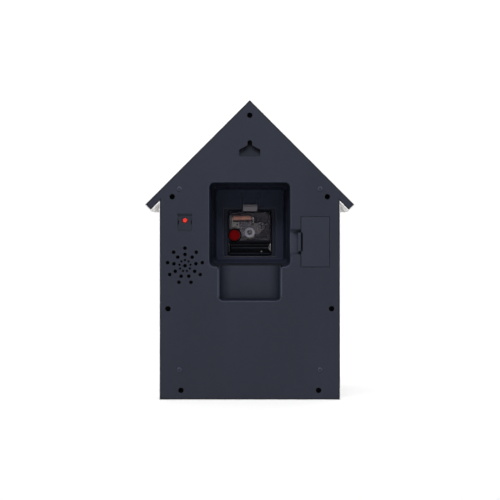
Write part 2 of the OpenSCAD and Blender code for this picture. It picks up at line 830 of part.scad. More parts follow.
module dial_bezel() {
    color("white") translate([0, y_front, dial_z]) rotate([90, 0, 0]) rotate_extrude($fn = 96)
        polygon([[dial_r + 0.1, 0], [dial_r + 3, 0], [dial_r + 3, 3], [dial_r + 2, 4.4], [dial_r + 1, 4.8],
            [dial_r + 0.1, 4]]);
}

// A hand pointing up from the hub, turned clockwise from the front by angle
module hand(y, bore, angle, pts, boss) {
    translate([0, 0, dial_z]) rotate([0, angle, 0]) difference() {
        union() {
            slab(y - hand_t, y) polygon(concat(pts, mirrored(pts)));
            translate([0, y, 0]) rotate([90, 0, 0]) cylinder(h = hand_t, r = boss);
        }
        if (bore) translate([0, y + 1, 0]) rotate([90, 0, 0]) cylinder(h = 4, r = bore);
    }
}

module hour_hand() {
    pts = [[2.2, -9], [2.2, 3], [3, hour_len - 6], [0, hour_len]];
    color("white") hand(hour_y, 2.62, hour_angle, pts, 4.6);
}

module minute_hand() {
    pts = [[1.8, -11], [1.8, 3], [2.3, minute_len - 6], [0, minute_len]];
    color("white") hand(minute_y, 1.62, minute_angle, pts, 3.8);
}

module second_hand() {
    pts = [[0.8, -14], [0.6, 3], [0.35, second_len], [0, second_len]];
    color("firebrick") hand(second_y, 0.82, second_angle, pts, 2.8);
}

// ---- Bird ----

module window_frame() {
    x = window_half + 0.3;
    color("slategray") difference() {
        slab(frame_y, y_front) difference() {
            square_between([-x - frame_band, window_z - 4], [x + frame_band, window_z + window_h + 3.8]);
            square_between([-x, window_z], [x, window_z + window_h]);
        }
        for (s = [-1, 1]) translate([s * leaf_x, leaf_y, window_z - 2.6])
            cylinder(h = window_h + 5.2, r = leaf_pin_r + 0.05);
    }
}

// One shutter leaf; side is 1 for the leaf on +X
module leaf(side) {
    z = [window_z + 0.4, window_z + window_h - 0.4];
    x = [0.2, leaf_x + 0.9];
    low = [side > 0 ? x[0] : -x[1], leaf_y - 1, z[0]];
    high = [side > 0 ? x[1] : -x[0], leaf_y + 1, z[1]];
    mid = side * (x[0] + x[1]) / 2;
    difference() {
        box(low, high);
        for (foot = [z[0] + 3, z[0] + 21.8])
            box([mid - 7, leaf_y - 2, foot], [mid + 6, leaf_y - 0.5, foot + 15.6]);
    }
    translate([side * leaf_x, leaf_y, window_z - 2.2]) cylinder(h = window_h + 4.4, r = leaf_pin_r);
}

module shutter_right() {
    color("slategray") leaf(1);
}

module shutter_left() {
    color("slategray") leaf(-1);
}

module bird_frame() {
    floor_z = rail_z[0] - 10;
    plate_x = 13.4;
    color("whitesmoke") difference() {
        union() {
            box([-20, y_inner + 0.1, floor_z], [20, y_inner + 2.6, window_z - 0.5]);
            for (s = [-1, 1]) {
                x = s > 0 ? rail_x : [-rail_x[1], -rail_x[0]];
                box([x[0], y_inner + 2.5, rail_z[0]], [x[1], rail_end + 1, rail_z[1]]);
                box([x[0], y_inner + 2.5, floor_z], [x[1], y_inner + 19, rail_z[0] + eps]);
            }
            box([-rail_x[1], rail_end, rail_z[0]], [rail_x[1], rail_end + 2.4, rail_z[1]]);
            box([rail_x[1] - eps, y_inner + 27, rail_z[0]], [plate_x, y_inner + 32, rail_z[1]]);
            box([plate_x - eps, motor_yz[0] - 7, motor_yz[1] - 7.4],
                [plate_x + 1, motor_yz[0] + 10.2, motor_yz[1] + 7.4]);
        }
        for (s = [-1, 1]) box([s * 8.6 - 0.7, y_inner + 2, 279.9], [s * 8.6 + 0.7, rail_end, 282.1]);
        cross_bar(drive_yz, -20, 12, 1.55);
        cross_bar(motor_yz, 12, 16, 3);
    }
}

module bird_motor() {
    x = 14.4;
    color("silver") {
        cross_bar(motor_yz, x, x + 20, 7.5);
        cross_bar(motor_yz, x - 0.9, x + eps, 2.6);
        cross_bar(motor_yz, x + 20 - eps, x + 21.6, 2.6);
    }
}

drive_phase = 90 + 180 / drive_teeth[1];

module motor_pinion() {
    phase = mate(drive_phase, drive_teeth[0], pinion_teeth, motor_dir);
    color("gold") translate([0, motor_yz[0], motor_yz[1]]) rotate([90, 0, 90])
        translate([0, 0, 11]) linear_extrude(2.2) polygon(gear(pinion_teeth, rack_m, phase));
}

module drive_gear() {
    color("ivory") {
        translate([0, drive_yz[0], drive_yz[1]]) rotate([90, 0, 90]) {
            translate([0, 0, 11]) linear_extrude(2) polygon(gear(drive_teeth[0], rack_m, drive_phase));
            translate([0, 0, -3]) linear_extrude(6) polygon(gear(drive_teeth[1], rack_m, drive_phase));
        }
        cross_bar(drive_yz, -10.4, 11 + eps, 1.5);
    }
}

module bird_carriage() {
    pitch = PI * rack_m;
    tooth = [[-0.62, 1.21], [-0.62, 0.6], [-0.16, -0.4], [0.16, -0.4], [0.62, 0.6], [0.62, 1.21]];
    teeth = floor((carriage_y[1] - drive_yz[0] - 1) / pitch);
    color("whitesmoke") {
        box([-7.8, carriage_y[0], 279.2], [7.8, carriage_y[1], 283]);
        box([-9, carriage_y[0], 280.2], [9, carriage_y[1], 281.8]);
        // Rack below the carriage, with a tooth over the pinion's top gap
        for (i = [-3:teeth]) translate([-2.6, drive_yz[0] + i * pitch, rack_z]) rotate([90, 0, 90])
            linear_extrude(5.2) polygon(tooth);
        translate([0, bird_y, 283 - eps]) cylinder(h = bird_z - 290, r = 2.6);
    }
}

// Round body, head and tail, turned about lengthwise axes
module bird_body() {
    tilt = 12;
    color("steelblue") difference() {
        union() {
            translate([0, bird_y, bird_z]) rotate([90 + tilt, 0, 0]) rotate_extrude()
                polygon([[0, -18], [2.4, -16], [6, -9], [8.6, -2], [9, 3], [7.6, 8], [4.6, 11.4],
                    [0, 12.6]]);
            translate([0, bird_y - 12.2, bird_z + 6.2]) sphere(r = 6.4);
            translate([0, bird_y + 12, bird_z - 4]) rotate([tilt, 0, 0]) box([-3.4, 0, 0.4], [3.4, 11, 2]);
        }
        translate([0, bird_y, bird_z - 20]) cylinder(h = 13.1, r = 2.62);
        bar([0, bird_z + 6], -far, bird_y - 18.28, 2.25);
    }
}

module bird_wings() {
    feathers = [[-7, 1], [-5, 4.4], [0, 5.4], [6, 3], [13, -2.4], [5, -4], [-4, -3.4]];
    color("darkslateblue") for (s = [-1, 1])
        translate([s * 9.7, bird_y + 2, bird_z]) rotate([-12, 0, s * 3]) rotate([90, 0, 90])
            linear_extrude(1.2, center = true) polygon(feathers);
}

module bird_beak() {
    color("orange") translate([0, bird_y - 18.3, bird_z + 6]) rotate([90, 0, 0])
        cylinder(h = 4.6, r1 = 2.2, r2 = 0.3);
}

// ---- Pendulum ----

// The arched window of the pendulum niche, drawn in by a distance
module niche_outline(inset) {
    half = niche_half - inset;
    polygon(concat([[-half, niche_z[0] + inset], [half, niche_z[0] + inset]],
        [for (a = [0:5:180]) [0, niche_z[1]] + polar(half, a)]));
}

module niche_frame() {
    color("slategray") slab(y_front - 2.4, y_front) difference() {
        niche_outline(-4);
        niche_outline(0);
    }
}

module pendulum_niche() {
    half = niche_half + 4;
    z = [niche_z[0] - 4, niche_z[1] + niche_half + 4];
    t = 1.6;
    color("slategray") difference() {
        box([-half - t, niche_y[0], z[0] - t], [half + t, niche_y[1] + t, z[1] + t]);
        box([-half, niche_y[0] - eps, z[0]], [half, niche_y[1], z[1]]);
        box([-9, pivot_y - 4.4, z[1] - eps], [9, pivot_y + 4.4, z[1] + 2 * t]);
    }
}

module pendulum_bracket() {
    color("whitesmoke") {
        box([-7, y_inner + 0.1, pivot_z - 7], [7, y_inner + 2.1, pivot_z + 7]);
        bar([0, pivot_z], y_inner + 2, pivot_y + 3.4, 1.5);
        bar([0, pivot_z], pivot_y + 2.2, pivot_y + 3.4, 2.6);
    }
}

module pendulum_rod() {
    color("goldenrod") {
        difference() {
            bar([0, pivot_z], pivot_y - 1.2, pivot_y + 1.2, 3.2);
            bar([0, pivot_z], -far, far, 1.55);
        }
        box([-1.1, pivot_y - 0.6, bob_z - bob_r - 3.4], [1.1, pivot_y + 0.6, pivot_z - 2.6]);
    }
}

module pendulum_bob() {
    color("goldenrod") difference() {
        translate([0, pivot_y, bob_z]) rotate([90, 0, 0]) rotate_extrude($fn = 96)
            polygon([[0, -3], [bob_r - 4, -2.6], [bob_r - 1, -1.4], [bob_r, 0], [bob_r - 1, 1.4],
                [bob_r - 4, 2.6], [0, 3]]);
        box([-1.12, pivot_y - 0.62, 0], [1.12, pivot_y + 0.62, pivot_z]);
    }
}

module bob_magnet() {
    color("silver") translate([0, pivot_y, bob_z - bob_r - 7.4]) cylinder(h = 4, r = 3);
}

module pendulum_coil() {
    color("peru") translate([0, pivot_y, niche_z[0] - 14.8]) difference() {
        cylinder(h = 9, r = 7);
        translate([0, 0, -1]) cylinder(h = 11, r = 2);
    }
}

// ---- Internal wires ----

function unit(v) = v / norm(v);

// A pair of round wires swept along a route
module wires(route, across, r = 0.5) {
    n = 8;
    last = len(route) - 1;
    for (side = [-1, 1]) {
        rings = [for (i = [0:last])
            let (t = unit(route[min(i + 1, last)] - route[max(i - 1, 0)]),
                 u = unit(cross(t, across)),
                 v = cross(t, u))
            for (k = [0:n - 1]) let (a = k * 360 / n)
                route[i] + u * (side * 0.8 + r * cos(a)) + v * r * sin(a)];
        polyhedron(rings, concat(
            [[for (k = [n - 1:-1:0]) k]],
            [for (i = [0:last - 1], k = [0:n - 1])
                let (a = i * n + k, b = i * n + (k + 1) % n)
                each [[a, b, b + n], [a, b + n, a + n]]],
            [[for (k = [0:n - 1]) last * n + k]]));
    }
}

module speaker_wires() {
    color("firebrick") wires(speaker_route, [1, 0, 0]);
}

module battery_wires() {
    color("firebrick") wires(battery_route, [0, 1, 0]);
}

module motor_wires() {
    color("firebrick") wires(motor_route, [0, 1, 0]);
}

front_housing();
roof_trim();
back_cover();
case_screws();
battery_door();
battery_contacts();
movement_latch();
button_bezel();
push_button();
main_board();
tact_switch();
board_screws();
speaker_basket();
speaker_cone();
speaker_magnet();
speaker_ring();
movement_front_case();
movement_rear_case();
drive_coil();
stator();
movement_board();
movement_contacts();
centre_nut();
rotor();
intermediate_wheel();
second_wheel();
third_wheel();
centre_wheel();
cannon_pinion();
minute_wheel();
hour_wheel();
set_knob();
hour_hand();
minute_hand();
second_hand();
dial_plate();
dial_markers();
dial_bezel();
window_frame();
shutter_left();
shutter_right();
bird_frame();
bird_motor();
motor_pinion();
drive_gear();
bird_carriage();
bird_body();
bird_wings();
bird_beak();
niche_frame();
pendulum_niche();
pendulum_bracket();
pendulum_rod();
pendulum_bob();
bob_magnet();
pendulum_coil();
speaker_wires();
battery_wires();
motor_wires();
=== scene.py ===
"""Looks for a house-shaped battery cuckoo clock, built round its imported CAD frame. Lengths are metres."""
import json
import math
import random

import bmesh
import bpy
from mathutils import Matrix, Vector


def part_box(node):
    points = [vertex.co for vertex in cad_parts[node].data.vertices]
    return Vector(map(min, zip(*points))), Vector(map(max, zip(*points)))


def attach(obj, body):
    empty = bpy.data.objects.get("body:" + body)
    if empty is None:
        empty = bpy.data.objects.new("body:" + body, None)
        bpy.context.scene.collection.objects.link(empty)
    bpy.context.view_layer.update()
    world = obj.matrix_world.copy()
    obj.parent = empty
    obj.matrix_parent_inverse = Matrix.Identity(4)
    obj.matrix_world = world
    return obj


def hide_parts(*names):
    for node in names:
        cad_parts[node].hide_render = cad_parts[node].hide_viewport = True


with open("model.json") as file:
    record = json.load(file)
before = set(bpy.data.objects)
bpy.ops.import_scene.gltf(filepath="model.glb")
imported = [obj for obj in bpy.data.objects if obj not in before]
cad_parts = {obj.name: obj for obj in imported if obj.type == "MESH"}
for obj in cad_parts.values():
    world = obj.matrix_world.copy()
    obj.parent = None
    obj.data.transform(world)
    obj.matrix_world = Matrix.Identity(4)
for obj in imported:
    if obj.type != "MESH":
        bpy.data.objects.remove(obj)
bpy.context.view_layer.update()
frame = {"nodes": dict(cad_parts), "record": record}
NODES = frame["nodes"]
BODY_OF = {node: body for body, nodes in frame["record"]["behaviour"]["bodies"].items() for node in nodes}
SLOT_OF = {row["node"]: row["material_slot"] for row in frame["record"]["subparts"]}

MM = 0.001

# Planes, centres and openings of the frame
COVER_LOW, COVER_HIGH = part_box("back_cover")
BACK_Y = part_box("battery_door")[1].y
DIAL_LOW, DIAL_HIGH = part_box("dial_plate")
DIAL = Vector(((DIAL_LOW.x + DIAL_HIGH.x) / 2, DIAL_LOW.y, (DIAL_LOW.z + DIAL_HIGH.z) / 2))
DIAL_R = (DIAL_HIGH.x - DIAL_LOW.x) / 2
SPEAKER = sum(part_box("speaker_ring"), Vector()) / 2
OPENINGS = {row["name"]: [Vector(c) for c in row["box_m"]] for row in frame["record"]["physics"]["openings"]}
RECESS, FINGER, HANGER = (OPENINGS[name] for name in ("movement_recess", "finger_pocket", "hanger_pocket"))

# Heights where the cover and the shell are cut, between or through their openings
LOWER_CUT = 75 * MM
NICHE_CUT = OPENINGS["pendulum_window"][0].z + 3 * MM
BAND_CUT = FINGER[1].z + 5.2 * MM
LATCH_CUT = RECESS[1].z - 8 * MM
HANGER_CUT = HANGER[1].z + 2.5 * MM


# -------- materials

class Nodes:
    """A short way to write a material's node tree."""

    def __init__(self, name):
        self.material = bpy.data.materials.new(name)
        self.material.use_nodes = True
        self.tree = self.material.node_tree
        self.shader = self.tree.nodes["Principled BSDF"]
        place = self.add("ShaderNodeTexCoord")
        self.coords = place.outputs["Object"]
        self.normal = place.outputs["Normal"]

    def add(self, kind, **values):
        node = self.tree.nodes.new(kind)
        for key, value in values.items():
            if key in node.inputs:
                node.inputs[key].default_value = value
            else:
                setattr(node, key, value)
        return node

    def link(self, value, socket):
        """Links an output to a socket, or sets the socket to a plain value."""
        if isinstance(value, bpy.types.NodeSocket):
            self.tree.links.new(value, socket)
        else:
            socket.default_value = value

    def finish(self, **values):
        """The material, once its shader's inputs are linked or set."""
        for key, value in values.items():
            self.link(value, self.shader.inputs[key.replace("_", " ")])
        return self.material

    def stretched(self, scale):
        mapping = self.add("ShaderNodeMapping", Scale=scale)
        self.link(self.coords, mapping.inputs["Vector"])
        return mapping.outputs["Vector"]

    def noise(self, scale, detail=2.0, rough=0.5, vector=None):
        node = self.add("ShaderNodeTexNoise", Scale=scale, Detail=detail, Roughness=rough)
        self.link(vector or self.coords, node.inputs["Vector"])
        return node.outputs["Fac"]

    def cells(self, vector, **values):
        node = self.add("ShaderNodeTexVoronoi", **values)
        self.link(vector, node.inputs["Vector"])
        return node.outputs["Distance"]

    def ramp(self, value, *stops):
        """Colour from a value, between two stops of (place, colour)."""
        node = self.add("ShaderNodeValToRGB")
        for element, (place, colour) in zip(node.color_ramp.elements, stops):
            element.position = place
            element.color = (*colour, 1)
        self.link(value, node.inputs["Fac"])
        return node.outputs["Color"]

    def spread(self, value, low, high, from_low=0.3, from_high=0.7):
        """A value's range turned into low to high."""
        node = self.add("ShaderNodeMapRange")
        for socket, number in zip(node.inputs[1:5], (from_low, from_high, low, high)):
            socket.default_value = number
        self.link(value, node.inputs["Value"])
        return node.outputs["Result"]

    def axes(self, vector):
        """The X, Y and Z outputs of a vector."""
        node = self.add("ShaderNodeSeparateXYZ")
        self.link(vector, node.inputs["Vector"])
        return node.outputs

    def maths(self, operation, *values):
        node = self.add("ShaderNodeMath", operation=operation)
        for value, socket in zip(values, node.inputs):
            self.link(value, socket)
        return node.outputs["Value"]

    def times(self, a, b):
        return self.maths("MULTIPLY", a, b)

    def mixed(self, a, b, factor, kind="MULTIPLY"):
        node = self.add("ShaderNodeMix", data_type="RGBA", blend_type=kind)
        for key, value in (("A", a), ("B", b), ("Factor", factor)):
            self.link(value, node.inputs[key])
        return node.outputs["Result"]

    def bump(self, height, depth, strength, under=None):
        node = self.add("ShaderNodeBump", Strength=strength, Distance=depth)
        self.link(height, node.inputs["Height"])
        if under:
            self.link(under, node.inputs["Normal"])
        return node.outputs["Normal"]


def scaled(colour, k):
    return tuple(min(1.0, c * k) for c in colour)


def painted_well_light(n, tone, spec, face_y, deep_y, full_y):
    """Tone and gloss of moulded wells, with painted shade and a painted highlight.

    Their walls get painted shade and less gloss than the grained face, and their lips a painted
    highlight. The deep tone starts at deep_y and is full at full_y: painted shade on deep walls and a
    bluish tint on deep floors.
    """
    y = n.axes(n.coords)["Y"]
    flat = n.maths("ABSOLUTE", n.axes(n.normal)["Y"])
    # Masks for painted shade on walls, with depth and on deep walls, and for a painted highlight on lips
    below = n.spread(y, 1.0, 0.0, face_y - 3.0 * MM, face_y - 0.8 * MM)
    steep = n.maths("POWER", n.spread(flat, 1.0, 0.0, 0.25, 0.995), 0.6)
    deep = n.spread(y, 1.0, 0.0, full_y, deep_y)
    wall_shade = n.times(n.times(steep, below), n.spread(deep, 1.0, 0.0, 0.0, 1.0))
    deep_wall_shade = n.times(n.spread(flat, 1.0, 0.0, 0.80, 0.999), deep)
    lip = n.times(n.spread(flat, 1.0, 0.0, 0.97, 0.999),
                  n.spread(y, 0.0, 1.0, face_y - 1.0 * MM, face_y - 0.6 * MM))
    # Painted shade on walls and deep walls, a bluish tint on deep floors and a painted highlight on lips
    for factor, tint in ((wall_shade, WALL_SHADE), (deep, FLOOR_TONE), (deep_wall_shade, DEEP_WALL_SHADE), (lip, LIP_HIGHLIGHT)):
        tone = n.mixed(tone, (*tint, 1), factor)
    dull = n.maths("MAXIMUM", wall_shade, n.spread(deep, 0.0, 0.7, 0.0, 1.0))
    return tone, n.spread(dull, spec, spec * 0.12, 0.0, 0.8)


def plastic(name, colour, rough=0.42, grain=2600, depth=2.5e-5, mottle=0.06, spec=0.5, scuff=0.0, well_shade=None):
    """Moulded plastic: fine spark grain, soft flow marks in the colour and a slightly uneven gloss."""
    n = Nodes(name)
    flow = n.noise(9, 3, 0.6, n.stretched((1, 1, 0.45)))
    tone = n.ramp(flow, (0.32, scaled(colour, 1 - mottle)), (0.68, scaled(colour, 1 + mottle)))
    fleck = n.ramp(n.noise(grain * 0.6, 1), (0.3, (1 - mottle,) * 3), (0.7, (1, 1, 1)))
    tone, gloss = n.mixed(tone, fleck, 0.5), spec
    # Painted shade and a painted highlight in the wells
    if well_shade:
        tone, gloss = painted_well_light(n, tone, spec, *well_shade)
    fine = n.bump(n.noise(grain, 2, 0.55), depth, 0.5)
    return n.finish(Base_Color=tone, Normal=n.bump(n.noise(34, 2), depth * 3, 0.35, fine),
                    Roughness=n.spread(n.noise(140, 4, 0.6), rough - 0.05 - scuff, rough + 0.06 + scuff),
                    Specular_IOR_Level=gloss)


def slate(name, shade, spec, scuff=0.0, well_shade=None):
    """The cover's plastic, lighter or darker than its plain face."""
    return plastic(name, scaled(SLATE, shade), 0.6, 2600, 3.0e-5, 0.07, spec, scuff, well_shade)


def metal(name, colour, rough, brush=(1, 1, 40), depth=4e-6, share=1.0):
    """Metal with fine drawn lines, soft patches of tarnish and an uneven polish."""
    n = Nodes(name)
    lines = n.noise(260, 4, 0.65, n.stretched(brush))
    return n.finish(Base_Color=n.ramp(n.noise(120, 3), (0.3, scaled(colour, 0.88)), (0.7, colour)),
                    Roughness=n.spread(lines, rough - 0.08, rough + 0.12),
                    Normal=n.bump(lines, depth, 0.6), Metallic=share)


def smoky(name, colour, alpha):
    """Thin smoky-clear styrene: see-through, glossy, with faint flow lines."""
    n = Nodes(name)
    flow = n.noise(60, 3, 0.6, n.stretched((1, 1, 3)))
    return n.finish(Base_Color=n.ramp(flow, (0.3, scaled(colour, 0.9)), (0.7, scaled(colour, 1.1))),
                    Roughness=n.spread(n.noise(400, 3), 0.16, 0.26),
                    Normal=n.bump(n.noise(300, 2), 1e-5, 0.3), Alpha=alpha, Specular_IOR_Level=0.5)


def circuit(name):
    """Solder mask over copper tracks: blocky tracks, a little lighter and raised."""
    n = Nodes(name)
    edge = n.cells(n.coords, feature="DISTANCE_TO_EDGE", distance="CHEBYCHEV", Scale=420)
    track = n.spread(edge, 0, 1, 0.05, 0.09)
    return n.finish(Base_Color=n.ramp(track, (0, (0.03, 0.19, 0.07)), (1, (0.012, 0.1, 0.035))),
                    Roughness=n.spread(n.noise(600, 2), 0.25, 0.4), Normal=n.bump(track, 2e-5, -0.5))


def graded(name, low, high, levels):
    """Moulded plastic that changes tone between two heights, used for a painted shadow that darkens towards
    the top.
    """
    n = Nodes(name)
    height = n.spread(n.axes(n.coords)["Z"], 0.0, 1.0, *levels)
    return n.finish(Base_Color=n.ramp(height, (0.0, low), (1.0, high)),
                    Roughness=n.spread(n.noise(140, 4, 0.6), 0.55, 0.66),
                    Normal=n.bump(n.noise(2600, 2, 0.55), 3.0e-5, 0.5), Specular_IOR_Level=0.1)


def winding(name, colour, pitch=0.22 * MM, along="X"):
    """Enamelled wire wound side by side: a fine ridge for each turn."""
    n = Nodes(name)
    wave = n.add("ShaderNodeTexWave", wave_type="BANDS", bands_direction=along, Scale=1 / pitch / 20,
                 Distortion=0.6)
    wave.inputs["Detail Scale"].default_value = 2.0
    n.link(n.coords, wave.inputs["Vector"])
    ridge = wave.outputs["Fac"]
    # Colour follows the ridges: painted shade between turns and a painted highlight on each crest
    return n.finish(Base_Color=n.ramp(ridge, (0.1, scaled(colour, 0.8)), (0.7, scaled(colour, 1.3))),
                    Roughness=n.spread(n.noise(500, 2), 0.25, 0.4),
                    Normal=n.bump(ridge, 5e-5, 0.8), Metallic=0.05, Specular_IOR_Level=0.25)


def painted_bird(name, top, under, split):
    """Brushed paint on a carved bird, darker above and pale below, with short feather strokes."""
    n = Nodes(name)
    height = n.maths("MULTIPLY_ADD", n.noise(320, 3), 4 * MM, n.axes(n.coords)["Z"])
    above = n.spread(height, 0, 1, split, split + 3.5 * MM)
    stroke = n.cells(n.stretched((1, 0.45, 1)), Scale=520)
    colour = n.mixed(n.ramp(stroke, (0.1, scaled(under, 0.85)), (0.6, under)),
                     n.ramp(stroke, (0.1, scaled(top, 1.25)), (0.6, scaled(top, 0.8))), above, "MIX")
    return n.finish(Base_Color=colour, Roughness=n.spread(n.noise(300, 3), 0.38, 0.6),
                    Normal=n.bump(stroke, 1.2e-4, 0.5))


SLATE = (0.0234, 0.0268, 0.0400)
WHITE = (0.745, 0.74, 0.735)
# Painted shade for walls and deep walls, the deep floors' tint and a painted highlight for lips
WALL_SHADE = (0.37, 0.38, 0.43)
FLOOR_TONE = (0.98, 1.02, 1.12)
DEEP_WALL_SHADE = (0.44, 0.44, 0.48)
LIP_HIGHLIGHT = (1.9, 1.9, 1.9)
# The face and the depths where the wells' painted shade starts and is full
WELL_SHADE_DEPTHS = (BACK_Y, BACK_Y - 17 * MM, BACK_Y - 30 * MM)
# Heights where the hanger pocket's painted shadow starts and is full
HANGER_SHADOW_LEVELS = (HANGER_CUT, HANGER_CUT + 4.5 * MM)
BIRD_SPLIT = 294 * MM

# Each row has a maker, a name and the maker's other values in their order
FINISHES = (
    (plastic, "shell_white", WHITE, 0.38, 2200, 1.6e-5, 0.02),
    (slate, "cover_slate", 1.0, 0.14, 0.02, WELL_SHADE_DEPTHS),
    # Painted light for the floor of the latch recess
    (slate, "cover_light", 1.5, 0.2),
    # Painted shade for the cover's rounded rim
    (slate, "cover_edge", 0.5, 0.1),
    (slate, "cover_shade", 0.3, 0.08),
    (slate, "door_slate", 1.17, 0.14, 0.02),
    # A darker copy of the cover's plastic: painted shade on the bezel's slope
    (slate, "bezel_slate", 0.84, 0.12, 0.02),
    # Painted shadow in the hanger pocket, darker towards its top
    (graded, "hanger_slate", scaled(SLATE, 0.66), scaled(SLATE, 0.08), HANGER_SHADOW_LEVELS),
    # A brownish painted highlight for the rounded edges of the step round the movement
    (plastic, "step_edge", (0.034, 0.028, 0.027), 0.5, 2600, 3.0e-5, 0.07, 0.3),
    (plastic, "screw_black", (0.0010, 0.0010, 0.0014), 0.6, 1800, 1e-5, 0.15, 0.03),
    (plastic, "button_red", (0.74, 0.036, 0.024), 0.36, 2400, 1e-5, 0.05, 0.2),
    (plastic, "trim_black", (0.018, 0.018, 0.02), 0.5, 2400, 3e-5, 0.1),
    (plastic, "cone_paper", (0.03, 0.03, 0.03), 0.8, 900, 1.2e-4, 0.2, 0.2),
    (plastic, "movement_grey", (0.080, 0.074, 0.094), 0.5, 2400, 2e-5, 0.08, 0.15),
    (plastic, "gear_cream", (0.22, 0.20, 0.205), 0.4, 2000, 2e-5),
    (plastic, "knob_red", (0.145, 0.0003, 0.0013), 0.45, 2400, 1.2e-5, 0.1, 0.05),
    (plastic, "hand_white", (0.84, 0.84, 0.82), 0.34, 3000, 8e-6, 0.02),
    (plastic, "dial_slate", (0.050, 0.056, 0.085), 0.46, 3000, 1.5e-5),
    (plastic, "beak_orange", (0.85, 0.30, 0.05), 0.36, 1800, 2e-5, 0.1),
    (plastic, "wire_red", (0.42, 0.02, 0.02), 0.42, 1800, 1e-5, 0.08),
    (plastic, "latch_grey", (0.150, 0.140, 0.158), 0.4, 2400, 2e-5, 0.08, 0.3),
    # Near black: black parts, and painted shade in gaps, slots, seams and holes
    (plastic, "bay_dark", (0.0018, 0.0020, 0.0036), 0.5, 2400, 2e-5, 0.1, 0.06),
    (plastic, "bay_navy", (0.0072, 0.0086, 0.0155), 0.5, 2400, 2e-5, 0.1, 0.12),
    (plastic, "bay_rib", (0.05, 0.056, 0.078), 0.4, 2400, 2e-5, 0.1, 0.3),
    (plastic, "eye_black", (0.01, 0.01, 0.012), 0.08, 900, 1e-6, 0.05),
    (metal, "spring_steel", (0.62, 0.61, 0.58), 0.26),
    (metal, "magnet_steel", (0.4, 0.4, 0.41), 0.34, (1, 40, 1)),
    (metal, "gear_brass", (0.78, 0.55, 0.24), 0.28, (40, 1, 1)),
    (metal, "bright_tin", (0.9, 0.89, 0.86), 0.4, (1, 1, 40), 1e-6, 0.45),
    (smoky, "smoke_clear", (0.14, 0.13, 0.165), 0.12),
    (smoky, "frosted", (0.46, 0.44, 0.54), 0.52),
    (smoky, "haze", (0.24, 0.23, 0.275), 0.42),
    (winding, "coil_copper", (1.0, 0.43, 0.33)),
    (winding, "coil_wound_up", (0.50, 0.19, 0.12), 0.39 * MM, "Z"),
    (painted_bird, "bird_blue", (0.07, 0.17, 0.28), (0.62, 0.55, 0.42), BIRD_SPLIT),
    (painted_bird, "bird_wing", (0.035, 0.075, 0.13), (0.05, 0.10, 0.17), BIRD_SPLIT + 2 * MM),
    (circuit, "board_green"),
)
MATERIALS = {name: make(name, *values) for make, name, *values in FINISHES}


def dress(obj, material):
    obj.data.materials.clear()
    obj.data.materials.append(material)


for name, obj in NODES.items():
    dress(obj, MATERIALS[SLOT_OF[name]])


# -------- mesh helpers

AXES = (Vector((1, 0, 0)), Vector((0, 1, 0)), Vector((0, 0, 1)))


def mark_sharp(bm, angle):
    """Smooth shading with creases where faces meet at more than an angle."""
    for face in bm.faces:
        face.smooth = True
    for edge in bm.edges:
        edge.smooth = len(edge.link_faces) == 2 and edge.calc_face_angle(0) < angle


def placed(name, data):
    obj = bpy.data.objects.new(name, data)
    bpy.context.scene.collection.objects.link(obj)
    return obj


def new_object(name, bm, materials=(), crease=0.7):
    mark_sharp(bm, crease)
    mesh = bpy.data.meshes.new(name)
    bm.to_mesh(mesh)
    bm.free()
    for material in materials:
        mesh.materials.append(MATERIALS[material])
    return placed(name, mesh)


def piece(name, bm, body, materials, replaces=(), crease=0.7):
    """A piece that rides on a CAD body. Its faces pick from materials by their index."""
    bmesh.ops.recalc_face_normals(bm, faces=bm.faces)
    obj = new_object(name, bm, materials, crease)
    shade = obj.modifiers.new("even_shading", "WEIGHTED_NORMAL")
    shade.keep_sharp = True
    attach(obj, body)
    if replaces:
        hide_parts(*replaces)
    return obj


def paint(faces, index):
    for face in faces:
        face.material_index = index


def skin(bm, rings, mat=0):
    """Joins rings of vertices with quads; a ring of one vertex is a point."""
    faces = []
    for a, b in zip(rings, rings[1:]):
        count = max(len(a), len(b))
        for i in range(count):
            j = (i + 1) % count
            corners = [a[i % len(a)], a[j % len(a)], b[j % len(b)], b[i % len(b)]]
            corners = [v for k, v in enumerate(corners) if v not in corners[:k]]
            if len(corners) > 2:
                faces.append(bm.faces.new(corners))
    paint(faces, mat)


def hoop(bm, centre, u, v, radius, count):
    """A ring of vertices in the plane of u and v."""
    angles = [k / count * math.tau for k in range(count)]
    return [bm.verts.new(centre + (u * math.cos(a) + v * math.sin(a)) * radius) for a in angles]


def lathe(bm, profile, centre, axis="Y", steps=64, mat=0):
    """Turns a profile of (radius, height) about an axis through centre."""
    first = "XYZ".index(axis)
    along, u, v = AXES[first:] + AXES[:first]
    rings = []
    for r, h in profile:
        point = Vector(centre) + along * h
        rings.append([bm.verts.new(point)] if r < 1e-7 else hoop(bm, point, u, v, r, steps))
    skin(bm, rings, mat)


def tube(bm, path, radius, sides=8, mat=0):
    """A round wire along a path, with flat ends."""
    path = [Vector(p) for p in path]
    u = (path[1] - path[0]).normalized().orthogonal().normalized()
    rings = []
    for i, point in enumerate(path):
        ahead = (path[min(i + 1, len(path) - 1)] - path[max(i - 1, 0)]).normalized()
        u = (u - ahead * u.dot(ahead)).normalized()
        rings.append(hoop(bm, point, u, ahead.cross(u), radius, sides))
    skin(bm, rings, mat)
    paint([bm.faces.new(rings[0][::-1]), bm.faces.new(rings[-1])], mat)


def round_edges(bm, edges, width, segments=2, profile=0.6, **more):
    if edges:
        bmesh.ops.bevel(bm, geom=list(edges), offset=width, segments=segments, profile=profile,
                        affect="EDGES", **more)


